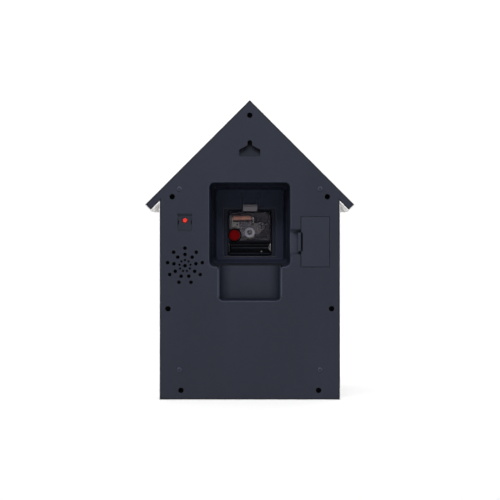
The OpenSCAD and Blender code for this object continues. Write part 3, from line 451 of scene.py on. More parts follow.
def block(bm, low, high, mat=0, edge=0.0):
    """A box between two corners, with rounded edges if edge is given."""
    made = bmesh.ops.create_cube(bm, size=1)["verts"]
    low, high = Vector(low), Vector(high)
    for vert in made:
        vert.co = Vector(low[k] + (high[k] - low[k]) * (vert.co[k] + 0.5) for k in range(3))
    paint({f for v in made for f in v.link_faces}, mat)
    if edge:
        round_edges(bm, {e for v in made for e in v.link_edges}, edge)


def slab(bm, outline, y0, y1, mat=0, edge=0.0):
    """A plate with an (x, z) outline from y0 to y1, with rounded edges if edge is given."""
    rings = [[bm.verts.new((x, y, z)) for x, z in outline] for y in (y0, y1)]
    skin(bm, rings, mat)
    caps = [bm.faces.new(rings[0][::-1]), bm.faces.new(rings[1])]
    paint(caps, mat)
    if edge:
        round_edges(bm, {e for cap in caps for e in cap.edges}, edge)


def rounded(x0, z0, x1, z1, top, bottom):
    """A rectangle's outline with round upper and lower corners."""
    points, steps = [], 8
    for x, z, r, start in ((x1 - top, z1 - top, top, 0), (x0 + top, z1 - top, top, 1),
                           (x0 + bottom, z0 + bottom, bottom, 2), (x1 - bottom, z0 + bottom, bottom, 3)):
        for k in range(steps + 1):
            a = (start + k / steps) * math.pi / 2
            points.append((x + r * math.cos(a), z + r * math.sin(a)))
    return points


def cad_mesh(node):
    """A copy of a CAD node's mesh with its flat faces whole again."""
    bm = bmesh.new()
    bm.from_mesh(NODES[node].data)
    bmesh.ops.remove_doubles(bm, verts=bm.verts, dist=2e-6)
    bmesh.ops.dissolve_limit(bm, angle_limit=0.01, verts=bm.verts, edges=bm.edges)
    paint(bm.faces, 0)
    return bm


def cut_faces(bm, across, up):
    """Cuts a mesh on planes of constant x and z, so that no face winds round a hole."""
    for axis, places in ((0, across), (2, up)):
        for place in places:
            point, way = Vector(), Vector()
            point[axis], way[axis] = place, 1
            bmesh.ops.bisect_plane(bm, geom=bm.verts[:] + bm.edges[:] + bm.faces[:], dist=1e-6,
                                   plane_co=point, plane_no=way)


def sharp_edges(bm, angle=0.5, wanted=None):
    return [e for e in bm.edges if len(e.link_faces) == 2 and e.calc_face_angle(0) > angle
            and (wanted is None or wanted(e))]


def in_plane(edge, axis, value):
    return all(abs(v.co[axis] - value) < 0.02 * MM for v in edge.verts)


def middle(thing):
    """Middle of an edge or a face."""
    return sum((v.co for v in thing.verts), Vector()) / len(thing.verts)


def mean_reach(face, centre):
    """Mean distance of a face's corners from an axis along Y."""
    return sum(math.hypot(v.co.x - centre.x, v.co.z - centre.z) for v in face.verts) / len(face.verts)


def box_of(node):
    low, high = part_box(node)
    return Vector(low), Vector(high)


def centre_of(node):
    low, high = box_of(node)
    return (low + high) / 2


def stand_in(node, suffix, bm, materials=None, crease=0.7):
    """A piece that stands for one CAD node, on its body and with its slot."""
    slot = SLOT_OF[node]
    return piece(node + suffix, bm, BODY_OF[node], materials or [slot], [node], crease)


def softened(node, width, segments=2, material=None):
    """A CAD node's own shape with its hard edges rounded, standing for the node."""
    bm = cad_mesh(node)
    round_edges(bm, sharp_edges(bm), width, segments)
    stand_in(node, "_moulded", bm, [material or SLOT_OF[node]])


# -------- case

COVER_TONES = ["cover_slate", "step_edge", "cover_shade", "cover_edge", "cover_light", "hanger_slate",
               "bay_dark"]
TONE = {name: index for index, name in enumerate(COVER_TONES)}


def recess_floor_y(bm):
    """The plane of the recess floor: the commonest level just below the recess opening."""
    levels = [round(v.co.y, 5) for v in bm.verts
              if abs(v.co.y - RECESS[0].y) < 4 * MM and abs(v.co.x) > 36 * MM]
    return max(set(levels), key=levels.count)


def in_hanger(at, spare):
    """True within the width and height of the hanger pocket, with some spare at the sides."""
    low_z, high_z = HANGER[0].z - 1.3 * MM, OPENINGS["hanger_slot"][1].z + 5.5 * MM
    return abs(at.x) < HANGER[1].x + spare and low_z < at.z < high_z


def slope_hanger(bm):
    """Slopes the hanger pocket's floor back towards its slot."""
    step_z, shallow, deep = HANGER[1].z - 0.5 * MM, 3.0 * MM, 5.0 * MM
    for vert in bm.verts:
        if in_hanger(vert.co, 0.5 * MM) and 26 * MM < vert.co.y < BACK_Y - 8 * MM:
            vert.co.y = BACK_Y - (shallow if vert.co.z < step_z else deep)


def on_mouth(edge):
    """True for the edges of the recess's and the finger pocket's mouth."""
    at = middle(edge)
    return abs(at.x) < RECESS[1].x + 9.5 * MM and FINGER[0].z - 6 * MM < at.z < RECESS[1].z + 12.5 * MM


def on_rim(edge):
    """True for the long edges of the house outline."""
    at, wall_x = middle(edge), 110.5 * MM
    on_wall = abs(at.x) > wall_x or at.z < COVER_LOW.z + 0.5 * MM
    on_roof = COVER_HIGH.z - at.z - abs(at.x) < 0.6 * MM
    return edge.calc_length() > 9 * MM and (on_wall or on_roof)


def round_recess(bm):
    """Rounds the foot of the recess's walls and gives the rounded edges of the step round the movement a
    painted highlight.
    """
    floor_y = recess_floor_y(bm)

    def on_foot(edge):
        at = middle(edge)
        on_side = abs(at.x) > RECESS[1].x - 3.5 * MM
        return in_plane(edge, 1, floor_y) and (
            on_side or not FINGER[1].z + 13 * MM < at.z < RECESS[1].z - 2 * MM)

    def on_step(edge):
        at = middle(edge)
        return (in_plane(edge, 1, floor_y) and abs(at.x) < 33.5 * MM and abs(at.z - DIAL.z) < 31.2 * MM
                and edge.calc_length() > 4 * MM)

    round_edges(bm, sharp_edges(bm, 0.6, on_foot), 3.5 * MM, 5)
    # The step's rounded edges take a painted highlight
    round_edges(bm, sharp_edges(bm, 0.6, on_step), 0.5 * MM, profile=0.5, material=TONE["step_edge"])
    return floor_y


def paint_cover_shading(bm):
    """Paints light and shade on the cover: painted shade on the ledges and a painted shadow band at the
    finger pocket, painted light in the latch recess, a painted shadow in the hanger and painted shade in the
    sound holes.
    """
    latch, grille_r = OPENINGS["door_finger_recess"], 24.6 * MM
    for face in bm.faces:
        at, outward = middle(face), face.normal.y
        depth = BACK_Y - at.y
        # Painted shade on the ledges beside the finger pocket
        if abs(depth - 7 * MM) < 0.1 * MM and 37 * MM < abs(at.x) < 44.5 * MM and outward > 0.9:
            face.material_index = TONE["cover_shade"]
        # Painted shadow band at the step from the finger pocket into the recess
        if abs(at.x) < 40 * MM and 1.8 * MM < at.z - FINGER[1].z < 5.3 * MM and depth > 4 * MM:
            face.material_index = TONE["cover_shade"]
        # Painted light on the sloped floor of the latch recess beside the door, lifting it out of its shadow
        if (latch[0].x - 4.1 * MM < at.x < latch[1].x + 4 * MM and 0.9 < outward < 0.99
                and latch[0].z - 1.5 * MM < at.z < latch[1].z + 0.7 * MM):
            face.material_index = TONE["cover_light"]
        # Painted shadow in the hanger pocket, darker towards the slot at its top
        if in_hanger(at, 1 * MM) and depth > 2.5 * MM and outward > 0.8:
            face.material_index = TONE["hanger_slate"]
        # Painted shade on the walls and rounded edges of the sound holes
        if (at - SPEAKER).xz.length < grille_r and 0.02 * MM < depth < 3 * MM:
            face.material_index = TONE["bay_dark"]


def narrow_slots(bm, floor_y):
    """Thin steps in the slots beside the movement's snap latch."""
    low_z, high_z = box_of("movement_latch")[0].z + 5.6 * MM, RECESS[1].z - 4 * MM
    for x in (-11.4 * MM, 9.8 * MM):
        block(bm, (x, floor_y - 1.5 * MM, low_z), (x + 0.6 * MM, floor_y, high_z))


def back_cover():
    """The cover with a deep soft lip round the recess and small radii on every other edge of its face."""
    bm = cad_mesh("back_cover")
    cut_faces(bm, (0, SPEAKER.x, -SPEAKER.x),
              (SPEAKER.z, FINGER[0].z + 20 * MM, DIAL.z, LOWER_CUT, BAND_CUT, LATCH_CUT, HANGER_CUT))
    slope_hanger(bm)

    def on_face(wanted):
        return sharp_edges(bm, 0.35, lambda e: in_plane(e, 1, BACK_Y) and wanted(e))

    round_edges(bm, on_face(lambda e: not on_mouth(e) and not on_rim(e)), 0.3 * MM)
    # The house outline's rounded rim is painted darker: painted shade along the cover's edge
    round_edges(bm, on_face(on_rim), 1.1 * MM, 3, material=TONE["cover_edge"])
    round_edges(bm, on_face(on_mouth), 1.5 * MM, 4)
    floor_y = round_recess(bm)
    paint_cover_shading(bm)
    narrow_slots(bm, floor_y)
    stand_in("back_cover", "_moulded", bm, COVER_TONES)


def shell():
    """The light front shell and its trim, the door, the snap latch and the screws."""
    low, high = box_of("front_housing")
    bm = cad_mesh("front_housing")
    cut_faces(bm, (0,), (NICHE_CUT, DIAL.z, LATCH_CUT, HANGER_CUT))
    outer = sharp_edges(bm, wanted=lambda e: in_plane(e, 1, low.y) or in_plane(e, 1, high.y))
    round_edges(bm, outer, 0.35 * MM, 3)
    stand_in("front_housing", "_moulded", bm)
    softened("roof_trim", 0.6 * MM, 3)
    door()
    softened("movement_latch", 0.25 * MM, material="latch_grey")
    softened("case_screws", 0.2 * MM)


def door():
    """The battery door, with painted shade along its seam and in the groove behind its spring latch."""
    high = box_of("battery_door")[1]
    bm = cad_mesh("battery_door")
    corners = [v.co for v in bm.verts if abs(v.co.y - BACK_Y) < 0.02 * MM]
    sides = [(axis, end(co[axis] for co in corners)) for axis in (0, 2) for end in (min, max)]
    seam = sharp_edges(bm, wanted=lambda e: in_plane(e, 1, BACK_Y) and any(
        in_plane(e, axis, place) for axis, place in sides))
    # Painted shade along the seam's rounded edge
    round_edges(bm, seam, 0.75 * MM, material=1)
    round_edges(bm, sharp_edges(bm), 0.2 * MM)
    # Painted shade in the shallow groove behind the latch
    for face in bm.faces:
        at = middle(face)
        in_groove = 3.6 * MM < high.x - at.x < 5.9 * MM and 0.3 * MM < BACK_Y - at.y < 1.0 * MM
        if in_groove and len(face.verts) > 3:
            face.material_index = 1
    stand_in("battery_door", "_moulded", bm, ["door_slate", "bay_dark"])


# -------- button, board and speaker

def bezel():
    """The button's sloped frame in painted shade, a little darker than the cover, with a dark block for the
    shade in a slot at each side.
    """
    bm = cad_mesh("button_bezel")
    low, high = box_of("button_bezel")
    for vert in bm.verts:
        if BACK_Y - 3.6 * MM < vert.co.y < BACK_Y - 0.4 * MM and vert.co.z > low.z:
            vert.co.y = BACK_Y + (vert.co.y - BACK_Y) * 0.4
    round_edges(bm, sharp_edges(bm), 0.25 * MM)
    # Dark blocks in the side slots: painted shade
    for x in (low.x + 1.9 * MM, high.x - 3.1 * MM):
        block(bm, (x, BACK_Y - 2.0 * MM, low.z + 9.2 * MM),
              (x + 1.2 * MM, BACK_Y - 0.5 * MM, low.z + 15.0 * MM), 1)
    stand_in("button_bezel", "_moulded", bm, ["bezel_slate", "bay_dark"])


def push_button():
    """A turned button on a flange, with a round shoulder and a slightly domed face."""
    low, high = box_of("push_button")
    at = (low + high) / 2
    flange, cap, rise, shoulder = 4.15 * MM, 3.0 * MM, 2.5 * MM, 0.9 * MM
    dome, sink = 1.5 * MM, 0.45 * MM
    profile = [(0, low.y), (flange - 0.2 * MM, low.y), (flange, low.y + 0.2 * MM),
               (flange, high.y - rise - 1.1 * MM), (cap, high.y - rise - 1.0 * MM)]
    for k in range(7):
        a = k / 6 * math.pi / 2
        profile.append((cap - shoulder * (1 - math.cos(a)), high.y - shoulder + shoulder * math.sin(a)))
    for k in range(1, 8):
        r = (7 - k) / 7 * dome
        profile.append((r, high.y - sink * (1 - (r / dome) ** 2)))
    bm = bmesh.new()
    lathe(bm, profile, (at.x, 0, at.z))
    stand_in("push_button", "_moulded", bm)


def board():
    """The main board with its chip, sealed die, capacitors, resistors, sockets and solder joints."""
    low, high = box_of("main_board")
    face = high.y - 1.6 * MM
    bm = cad_mesh("main_board")
    round_edges(bm, sharp_edges(bm, 0.6), 0.12 * MM)
    for f in bm.faces:
        at = middle(f)
        if at.y < face - 0.05 * MM:
            f.material_index = 1 if at.z > low.z + 12 * MM or at.x > low.x + 22 * MM else 2
    stand_in("main_board", "_fitted", bm, ["board_green", "trim_black", "spring_steel"])

    bm = bmesh.new()
    dice = random.Random(4)
    for k in range(14):
        x = low.x + (4 + 2.9 * (k % 7)) * MM + dice.uniform(0, 0.6) * MM
        z = low.z + (20.5 if k < 7 else 36) * MM
        block(bm, (x, face - 0.6 * MM, z), (x + 1.6 * MM, face, z + 0.8 * MM), k % 2, 0.08 * MM)
    for k in range(8):
        for side in (-1, 1):
            x = low.x + (8.6 + 1.24 * k) * MM
            z = low.z + (25.5 + side * 4.1) * MM
            tube(bm, [(x, face - 1.0 * MM, z - side * 0.7 * MM), (x, face - 0.9 * MM, z - side * 0.1 * MM),
                      (x, face - 0.15 * MM, z + side * 0.25 * MM), (x, face - 0.1 * MM, z + side * 0.7 * MM)],
                 0.17 * MM, 6, 2)
    for k in range(6):
        x = low.x + (24.5 + 1.6 * (k % 3)) * MM
        z = low.z + (3.5 + 1.8 * (k // 3)) * MM
        lathe(bm, [(0.75 * MM, face), (0.6 * MM, face - 0.35 * MM), (0.2 * MM, face - 0.9 * MM),
                   (0, face - 0.95 * MM)], (x, 0, z), steps=12, mat=2)
    for x in (low.x + 22 * MM, low.x + 9.5 * MM):
        block(bm, (x, face - 4 * MM, high.z - 7 * MM), (x + 5.4 * MM, face, high.z - 2.6 * MM), 3, 0.2 * MM)
    piece("board_components", bm, "case", ["trim_black", "shell_white", "spring_steel", "gear_cream"])


def speaker():
    """The pressed cone with its ridges and roll surround, and the parts round it."""
    low, high = box_of("speaker_cone")
    at = (low + high) / 2
    depth = high.y - low.y
    profile = [(0, 0.56 * depth), (2 * MM, 0.55 * depth), (4 * MM, 0.49 * depth), (6.4 * MM, 0.2 * depth),
               (7.4 * MM, 0.05 * depth)]
    for k in range(9):
        profile.append(((8.4 + k * 1.25) * MM, (0.08 + k * 0.093) * depth + 0.06 * MM * (-1) ** k))
    for k in range(7):
        a = k / 6 * math.pi
        profile.append(((20 - 1.2 * math.cos(a)) * MM, 0.87 * depth + 0.12 * depth * math.sin(a)))
    profile.append((21.35 * MM, 0.8 * depth))
    under = [(r, h - 0.35 * MM if h > 0.4 * MM else 0.0) for r, h in reversed(profile)]
    bm = bmesh.new()
    lathe(bm, [(r, low.y + h) for r, h in profile + under], (at.x, 0, at.z), steps=96)
    stand_in("speaker_cone", "_pressed", bm)
    # Black cloth stretched behind the sound holes
    bm = bmesh.new()
    ring = box_of("speaker_ring")[1].y
    reach = 23.2 * MM
    lathe(bm, [(0, ring), (reach, ring), (reach, ring + 0.03 * MM), (0, ring + 0.03 * MM)], (at.x, 0, at.z))
    piece("speaker_cloth", bm, "case", ["bay_dark"])
    softened("speaker_basket", 0.15 * MM, material="bay_dark")
    softened("speaker_magnet", 0.4 * MM, segments=3)
    softened("speaker_ring", 0.15 * MM, material="screw_black")
    softened("tact_switch", 0.12 * MM)
    softened("board_screws", 0.2 * MM)


def battery_springs():
    """Plates with a conical wire spring at one end of each cell and a pressed dimple at the other."""
    low, high = box_of("battery_contacts")
    mid, y = (low.x + high.x) / 2, (low.y + high.y) / 2
    bm = bmesh.new()
    for side in (-1, 1):
        x = mid + side * 7.6 * MM
        for z in (low.z, high.z - 0.5 * MM):
            block(bm, (x - 6 * MM, y - 6 * MM, z), (x + 6 * MM, y + 6 * MM, z + 0.5 * MM), 0, 0.15 * MM)
        start, way = (low.z + 0.5 * MM, 1) if side > 0 else (high.z - 0.5 * MM, -1)
        path = []
        for k in range(145):
            t = k / 144
            r, a = (4.3 - 2.0 * t) * MM, t * 3.5 * math.tau
            path.append((x + r * math.cos(a), y + r * math.sin(a), start + way * (0.35 + 3.2 * t) * MM))
        tube(bm, path, 0.34 * MM)
        other, back = (high.z - 0.5 * MM, -1) if side > 0 else (low.z + 0.5 * MM, 1)
        dimple = [(2.6 * MM, other), (2.2 * MM, other + back * 0.5 * MM), (1.2 * MM, other + back * 0.8 * MM),
                  (0, other + back * 0.85 * MM)]
        lathe(bm, dimple, (x, y, 0), "Z", 32)
    block(bm, (mid - 2.2 * MM, y - 3 * MM, high.z - 0.5 * MM), (mid + 2.2 * MM, y + 3 * MM, high.z), 0,
          0.1 * MM)
    stand_in("battery_contacts", "_bent", bm)


# -------- movement

WORKS_LOW, WORKS_HIGH = box_of("movement_rear_case")
WORKS_Y = WORKS_HIGH.y - 1.2 * MM
CELL_BAY = OPENINGS["movement_cell_bay"]
SPLIT_Z = CELL_BAY[1].z + 1.6 * MM
KNOB = centre_of("set_knob")
KNOB_R = (box_of("set_knob")[1].x - box_of("set_knob")[0].x) / 2


def on_outline(thing):
    """True for an edge or a face at the outline of the movement's cover."""
    at = middle(thing)
    return min(at.x - WORKS_LOW.x, WORKS_HIGH.x - at.x, at.z - WORKS_LOW.z, WORKS_HIGH.z - at.z) < 1.3 * MM


def movement_cover():
    """Smoky above the cell bay and dark in the bay, with a dark edge partly in painted shade, painted shade
    round the knob and a frosted bearing ring.
    """
    bm = cad_mesh("movement_rear_case")
    bmesh.ops.bisect_plane(bm, geom=bm.verts[:] + bm.edges[:] + bm.faces[:], plane_co=(0, 0, SPLIT_Z),
                           plane_no=(0, 0, 1))
    hub_r, ring_r = 3.45 * MM, 7 * MM
    round_edges(bm, sharp_edges(bm, 0.6, lambda e: in_plane(e, 1, WORKS_Y) and on_outline(e)), 1.0 * MM, 4)
    round_edges(bm, sharp_edges(bm, 0.6, lambda e: in_plane(e, 1, WORKS_Y) and not on_outline(e)), 0.25 * MM)
    round_edges(bm, sharp_edges(bm, 0.6, lambda e: in_plane(e, 1, WORKS_HIGH.y)), 0.25 * MM)
    for f in bm.faces:
        at = middle(f)
        f.normal_update()
        raised = at.y > WORKS_Y - 0.3 * MM and abs(at.y - WORKS_Y) > 0.01 * MM
        if raised and hub_r < mean_reach(f, DIAL) < ring_r:
            f.material_index = 2
        # Dark in the cell bay; round the knob and on the outline's sloped faces the dark is partly painted
        # shade
        elif (at.z < SPLIT_Z or mean_reach(f, KNOB) < KNOB_R + 0.6 * MM
              or (on_outline(f) and f.normal.y < 0.98)):
            f.material_index = 1
    piece("movement_cover", bm, "case", ["smoke_clear", "bay_navy", "frosted"],
          ["movement_rear_case"])


def cover_border():
    """A thick dark border with round upper corners for the movement's dark edge and the painted shade in the
    gap beside it, and a dark collar of painted shade in the gap round the knob.
    """
    bm = bmesh.new()
    proud, sunk, collar = WORKS_Y + 0.06 * MM, WORKS_Y - 0.3 * MM, 1.3 * MM
    outer = rounded(WORKS_LOW.x + 0.05 * MM, SPLIT_Z - 1.2 * MM, WORKS_HIGH.x - 0.05 * MM,
                    WORKS_HIGH.z - 0.05 * MM, 3 * MM, 1 * MM)
    inner = rounded(WORKS_LOW.x + 2 * MM, SPLIT_Z, WORKS_HIGH.x - 2 * MM, WORKS_HIGH.z - 2.2 * MM,
                    3.6 * MM, 0.6 * MM)
    skin(bm, [[bm.verts.new((x, y, z)) for x, z in line] for line, y in (
        (outer, WORKS_Y - 1.2 * MM), (outer, WORKS_Y - 0.2 * MM), (inner, proud), (inner, sunk))])
    # Painted shade in the gap round the knob
    reach = KNOB_R + 0.35 * MM
    lathe(bm, [(reach, sunk), (reach, proud), (reach + collar, proud), (reach + collar, sunk)],
          (KNOB.x, 0, KNOB.z))
    piece("cover_border", bm, "case", ["bay_dark"])


def cover_mouldings():
    """Inside the cover: moulded web, bearing ring, pegs and a plain dark patch."""
    inner_y = WORKS_Y - 1.3 * MM
    bm = bmesh.new()
    web = [(13.5, 14.5), (-2, 14.5), (-5, 9), (2.2, 2.5), (4.5, -5), (8.5, -5), (12.5, 3)]
    slab(bm, [(x * MM, DIAL.z + z * MM) for x, z in web], inner_y - 0.7 * MM, inner_y, 0, 0.15 * MM)
    lathe(bm, [(3.2 * MM, inner_y), (3.2 * MM, inner_y - 0.8 * MM), (5.0 * MM, inner_y - 0.8 * MM),
               (5.0 * MM, inner_y), (3.2 * MM, inner_y)], (-14.2 * MM, 0, DIAL.z + 7.9 * MM))
    lathe(bm, [(0, inner_y), (0.9 * MM, inner_y), (0.9 * MM, inner_y - 0.8 * MM), (0, inner_y - 0.8 * MM)],
          (-23.2 * MM, 0, DIAL.z + 11 * MM))
    block(bm, (-21.8 * MM, inner_y - 0.6 * MM, DIAL.z - 7.4 * MM), (-6.8 * MM, inner_y, DIAL.z - 2.6 * MM), 1,
          0.1 * MM)
    for x, z in ((16, 9.8), (-3.4, 11)):
        lathe(bm, [(0, inner_y - 0.05 * MM), (1.1 * MM, inner_y - 0.05 * MM), (1.1 * MM, inner_y - 4.6 * MM)],
              (x * MM, 0, DIAL.z + z * MM), steps=20, mat=1)
    block(bm, (-4 * MM, inner_y - 0.7 * MM, DIAL.z + 13.3 * MM),
          (21.5 * MM, inner_y - 0.2 * MM, DIAL.z + 14.5 * MM), 1, 0.1 * MM)
    piece("cover_mouldings", bm, "case", ["haze", "bay_dark"])


def cell_cradle():
    """Two cradle ribs and a rivet on the floor of the cell bay."""
    low, high = CELL_BAY
    floor_y = low.y - 0.2 * MM
    bm = bmesh.new()
    for z, top in ((5.8, 4.2), (9.6, 3.0)):
        block(bm, (low.x + 0.3 * MM, floor_y - 0.1 * MM, low.z + z * MM),
              (high.x - 0.3 * MM, floor_y + top * MM, low.z + (z + 0.7) * MM), 0, 0.2 * MM)
    lathe(bm, [(1.2 * MM, floor_y), (1.1 * MM, floor_y + 0.5 * MM), (0.6 * MM, floor_y + 0.9 * MM),
               (0, floor_y + 1.0 * MM)], (-15 * MM, 0, low.z + 1.6 * MM), steps=24, mat=1)
    piece("cell_cradle", bm, "case", ["bay_rib", "bright_tin"])


def movement():
    movement_cover()
    cover_border()
    cover_mouldings()
    cell_cradle()
    softened("movement_front_case", 0.2 * MM)
    softened("set_knob", 0.16 * MM)
    coil()
    contacts()
    softened("stator", 0.08 * MM)
    small_board()


def coil():
    """Copper wound in ridges between two cream flanges, with the former's foot running down beside it."""
    low, high = box_of("drive_coil")
    y, z = (low.y + high.y) / 2, (low.z + high.z) / 2
    bm = bmesh.new()
    x0, x1, turns = low.x + 0.55 * MM, high.x - 0.55 * MM, 60
    pitch = (x1 - x0) / turns
    deep, crest = 2.98 * MM, 3.14 * MM
    profile = [(0.95 * MM, x0), (deep, x0)]
    for k in range(turns):
        profile += [(deep, x0 + (k + 0.08) * pitch), (crest, x0 + (k + 0.35) * pitch),
                    (crest, x0 + (k + 0.65) * pitch), (deep, x0 + (k + 0.92) * pitch)]
    profile += [(deep, x1), (0.95 * MM, x1)]
    lathe(bm, profile, (0, y, z + 0.3 * MM), "X", 40)
    for x in (low.x, high.x - 0.6 * MM):
        block(bm, (x, low.y, low.z), (x + 0.6 * MM, high.y, high.z), 1, 0.2 * MM)
    stand_in("drive_coil", "_wound", bm, ["coil_copper", "gear_cream"], 0.9)

    bm = bmesh.new()
    side = high.x + 2.1 * MM
    outline = ((0, 3), (2.8, 3), (3.2, 2), (3.2, -13), (2.4, -14.2), (-5.4, -13.6), (-5.4, -11.6),
               (0.2, -11.2))
    slab(bm, [(side + a * MM, z + b * MM) for a, b in outline], y - 1.6 * MM, y + 0.6 * MM, 0, 0.2 * MM)
    piece("coil_former", bm, "case", ["gear_cream"])


def contacts():
    """A bowed leaf on one side of the cell bay and a conical spring on the other."""
    low, high = box_of("movement_contacts")
    y = (low.y + high.y) / 2
    z = (low.z + high.z) / 2
    bm = bmesh.new()
    half = (high.z - low.z) / 2
    for k in (0, 1):
        x0 = low.x if k == 0 else high.x - 0.5 * MM
        block(bm, (x0, low.y, low.z), (x0 + 0.5 * MM, high.y, high.z), k, 0.1 * MM)
    bow = []
    for k in range(17):
        t = k / 16 * 2 - 1
        bow.append((low.x + 0.5 * MM + 1.7 * MM * (1 - t * t), z + t * half * 0.86))
    outline = bow + [(x - 0.3 * MM, zz) for x, zz in reversed(bow)]
    slab(bm, outline, y - 1.6 * MM, high.y - 0.4 * MM, 0)
    path = []
    for k in range(97):
        t = k / 96
        r, a = (3.4 - 1.5 * t) * MM, t * 3 * math.tau
        path.append((high.x - 0.8 * MM - 2.6 * t * MM, y + r * math.cos(a) * 0.7, z + r * math.sin(a)))
    tube(bm, path, 0.22 * MM, mat=1)
    stand_in("movement_contacts", "_bent", bm, ["bright_tin", "screw_black"], 0.6)


def small_board():
    """The movement's board, its parts black on one side and steel on the other."""
    low = box_of("movement_board")[0]
    face = low.y + 0.8 * MM
    bm = cad_mesh("movement_board")
    round_edges(bm, sharp_edges(bm, 0.6), 0.08 * MM)
    for f in bm.faces:
        at = middle(f)
        if at.y > face + 0.05 * MM:
            f.material_index = 1 if at.x > low.x + 12 * MM else 2
    stand_in("movement_board", "_fitted", bm, ["board_green", "trim_black", "spring_steel"])


# -------- dial, window and bird

def dial():
    softened("dial_plate", 0.3 * MM)
    softened("dial_markers", 0.18 * MM)
    softened("centre_nut", 0.2 * MM)
    for hand in ("hour_hand", "minute_hand", "second_hand"):
        softened(hand, 0.14 * MM)
    dial_bezel()
    minute_ticks()


def dial_bezel():
    """A turned ring round the dial with a rounded front edge."""
    low, high = box_of("dial_bezel")
    outer = (high.x - low.x) / 2
    inner, depth = outer - 2.9 * MM, high.y - low.y
    profile = [(inner, high.y), (outer, high.y), (outer, high.y - 0.55 * depth)]
    for k in range(1, 9):
        a = k / 8 * math.pi / 2
        profile.append((outer - 1.8 * MM * (1 - math.cos(a)), high.y - (0.55 + 0.45 * math.sin(a)) * depth))
    profile += [(inner + 0.3 * MM, high.y - 0.96 * depth), (inner, high.y - 0.84 * depth), (inner, high.y)]
    bm = bmesh.new()
    lathe(bm, profile, (DIAL.x, 0, DIAL.z), steps=160)
    bmesh.ops.remove_doubles(bm, verts=bm.verts, dist=1e-7)
    stand_in("dial_bezel", "_turned", bm)


def minute_ticks():
    """Thin raised strokes between the hour bars."""
    bm = bmesh.new()
    half, height, top = 0.28 * MM, 0.35 * MM, DIAL.z + DIAL_R - 5 * MM
    for k in range(60):
        if k % 5 == 0:
            continue
        turn = Matrix.Rotation(k / 60 * math.tau, 4, "Y")
        spin = Matrix.Translation(DIAL) @ turn @ Matrix.Translation(-DIAL)
        start = len(bm.verts)
        block(bm, (-half, DIAL.y - height, top - 3 * MM), (half, DIAL.y, top), 0, 0.08 * MM)
        bm.verts.ensure_lookup_table()
        bmesh.ops.transform(bm, matrix=spin, verts=bm.verts[start:])
    piece("minute_ticks", bm, "case", ["hand_white"])


def window():
    """The window and niche frames, and two shutters with sloped slats in two rows."""
    softened("window_frame", 0.35 * MM)
    softened("niche_frame", 0.4 * MM)
    for node in ("shutter_left", "shutter_right"):
        softened(node, 0.15 * MM)
        side = 1 if node == "shutter_right" else -1
        mid = (side * 0.2 * MM + side * 21.5 * MM) / 2
        front = centre_of(node).y - 1.0 * MM
        bm = bmesh.new()
        body_low = box_of(node)[0].z + 2.6 * MM
        for row in (0, 1):
            base = body_low + (3 + row * 18.8) * MM
            for k in range(6):
                z = base + (0.9 + k * 2.45) * MM
                outline_x = (mid - 6.9 * MM, mid + 5.9 * MM)
                verts = [bm.verts.new((x, front + y * MM, z + dz * MM)) for x in outline_x
                         for y, dz in ((0.12, 0.0), (0.12, 0.5), (1.45, 1.9), (1.45, 1.4))]
                a, b = verts[:4], verts[4:]
                bm.faces.new(a[::-1])
                bm.faces.new(b)
                for i in range(4):
                    j = (i + 1) % 4
                    bm.faces.new((a[i], a[j], b[j], b[i]))
        round_edges(bm, bm.edges[:], 0.08 * MM)
        piece(node + "_slats", bm, BODY_OF[node], [SLOT_OF[node]])


def carved(node, voxel, rounds):
    """A CAD node's shape run together and smoothed, as if carved."""
    bm = bmesh.new()
    bm.from_mesh(NODES[node].data)
    obj = new_object(node + "_carved", bm, [SLOT_OF[node]], 3.2)
    grow = obj.modifiers.new("run_together", "REMESH")
    grow.mode = "VOXEL"
    grow.voxel_size = voxel
    grow.use_smooth_shade = True
    smooth = obj.modifiers.new("smooth", "SMOOTH")
    smooth.factor = 0.5
    smooth.iterations = rounds
    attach(obj, BODY_OF[node])
    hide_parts(node)


def bird():
    carved("bird_body", 0.45 * MM, 14)
    carved("bird_wings", 0.25 * MM, 6)
    low, high = box_of("bird_beak")
    at = (low + high) / 2
    length = high.y - low.y
    profile = [(0, low.y), (0.35 * MM, low.y + 0.05 * length), (0.8 * MM, low.y + 0.25 * length),
               (1.35 * MM, low.y + 0.55 * length), (1.9 * MM, low.y + 0.85 * length), (2.15 * MM, high.y)]
    bm = bmesh.new()
    lathe(bm, profile + [(0, high.y)], (at.x, 0, at.z), steps=40)
    stand_in("bird_beak", "_carved", bm)

    body_low, body_high = box_of("bird_body")
    head = Vector((0, body_low.y + 6.4 * MM, body_high.z - 6.4 * MM))
    bm = bmesh.new()
    for side in (-1, 1):
        eye = head + Vector((side * 4.9, -2.9, 1.9)) * MM
        bmesh.ops.create_uvsphere(bm, u_segments=24, v_segments=14, radius=1.05 * MM,
                                  matrix=Matrix.Translation(eye))
    piece("bird_eyes", bm, "bird", ["eye_black"], crease=3.2)
    softened("bird_frame", 0.15 * MM)
    softened("bird_motor", 0.35 * MM, segments=3)
    softened("bird_carriage", 0.08 * MM)


def pendulum():
    softened("pendulum_niche", 0.3 * MM)
    softened("pendulum_bracket", 0.2 * MM)
    softened("pendulum_rod", 0.12 * MM)
    softened("bob_magnet", 0.25 * MM)
    pendulum_bob()
    pendulum_coil()


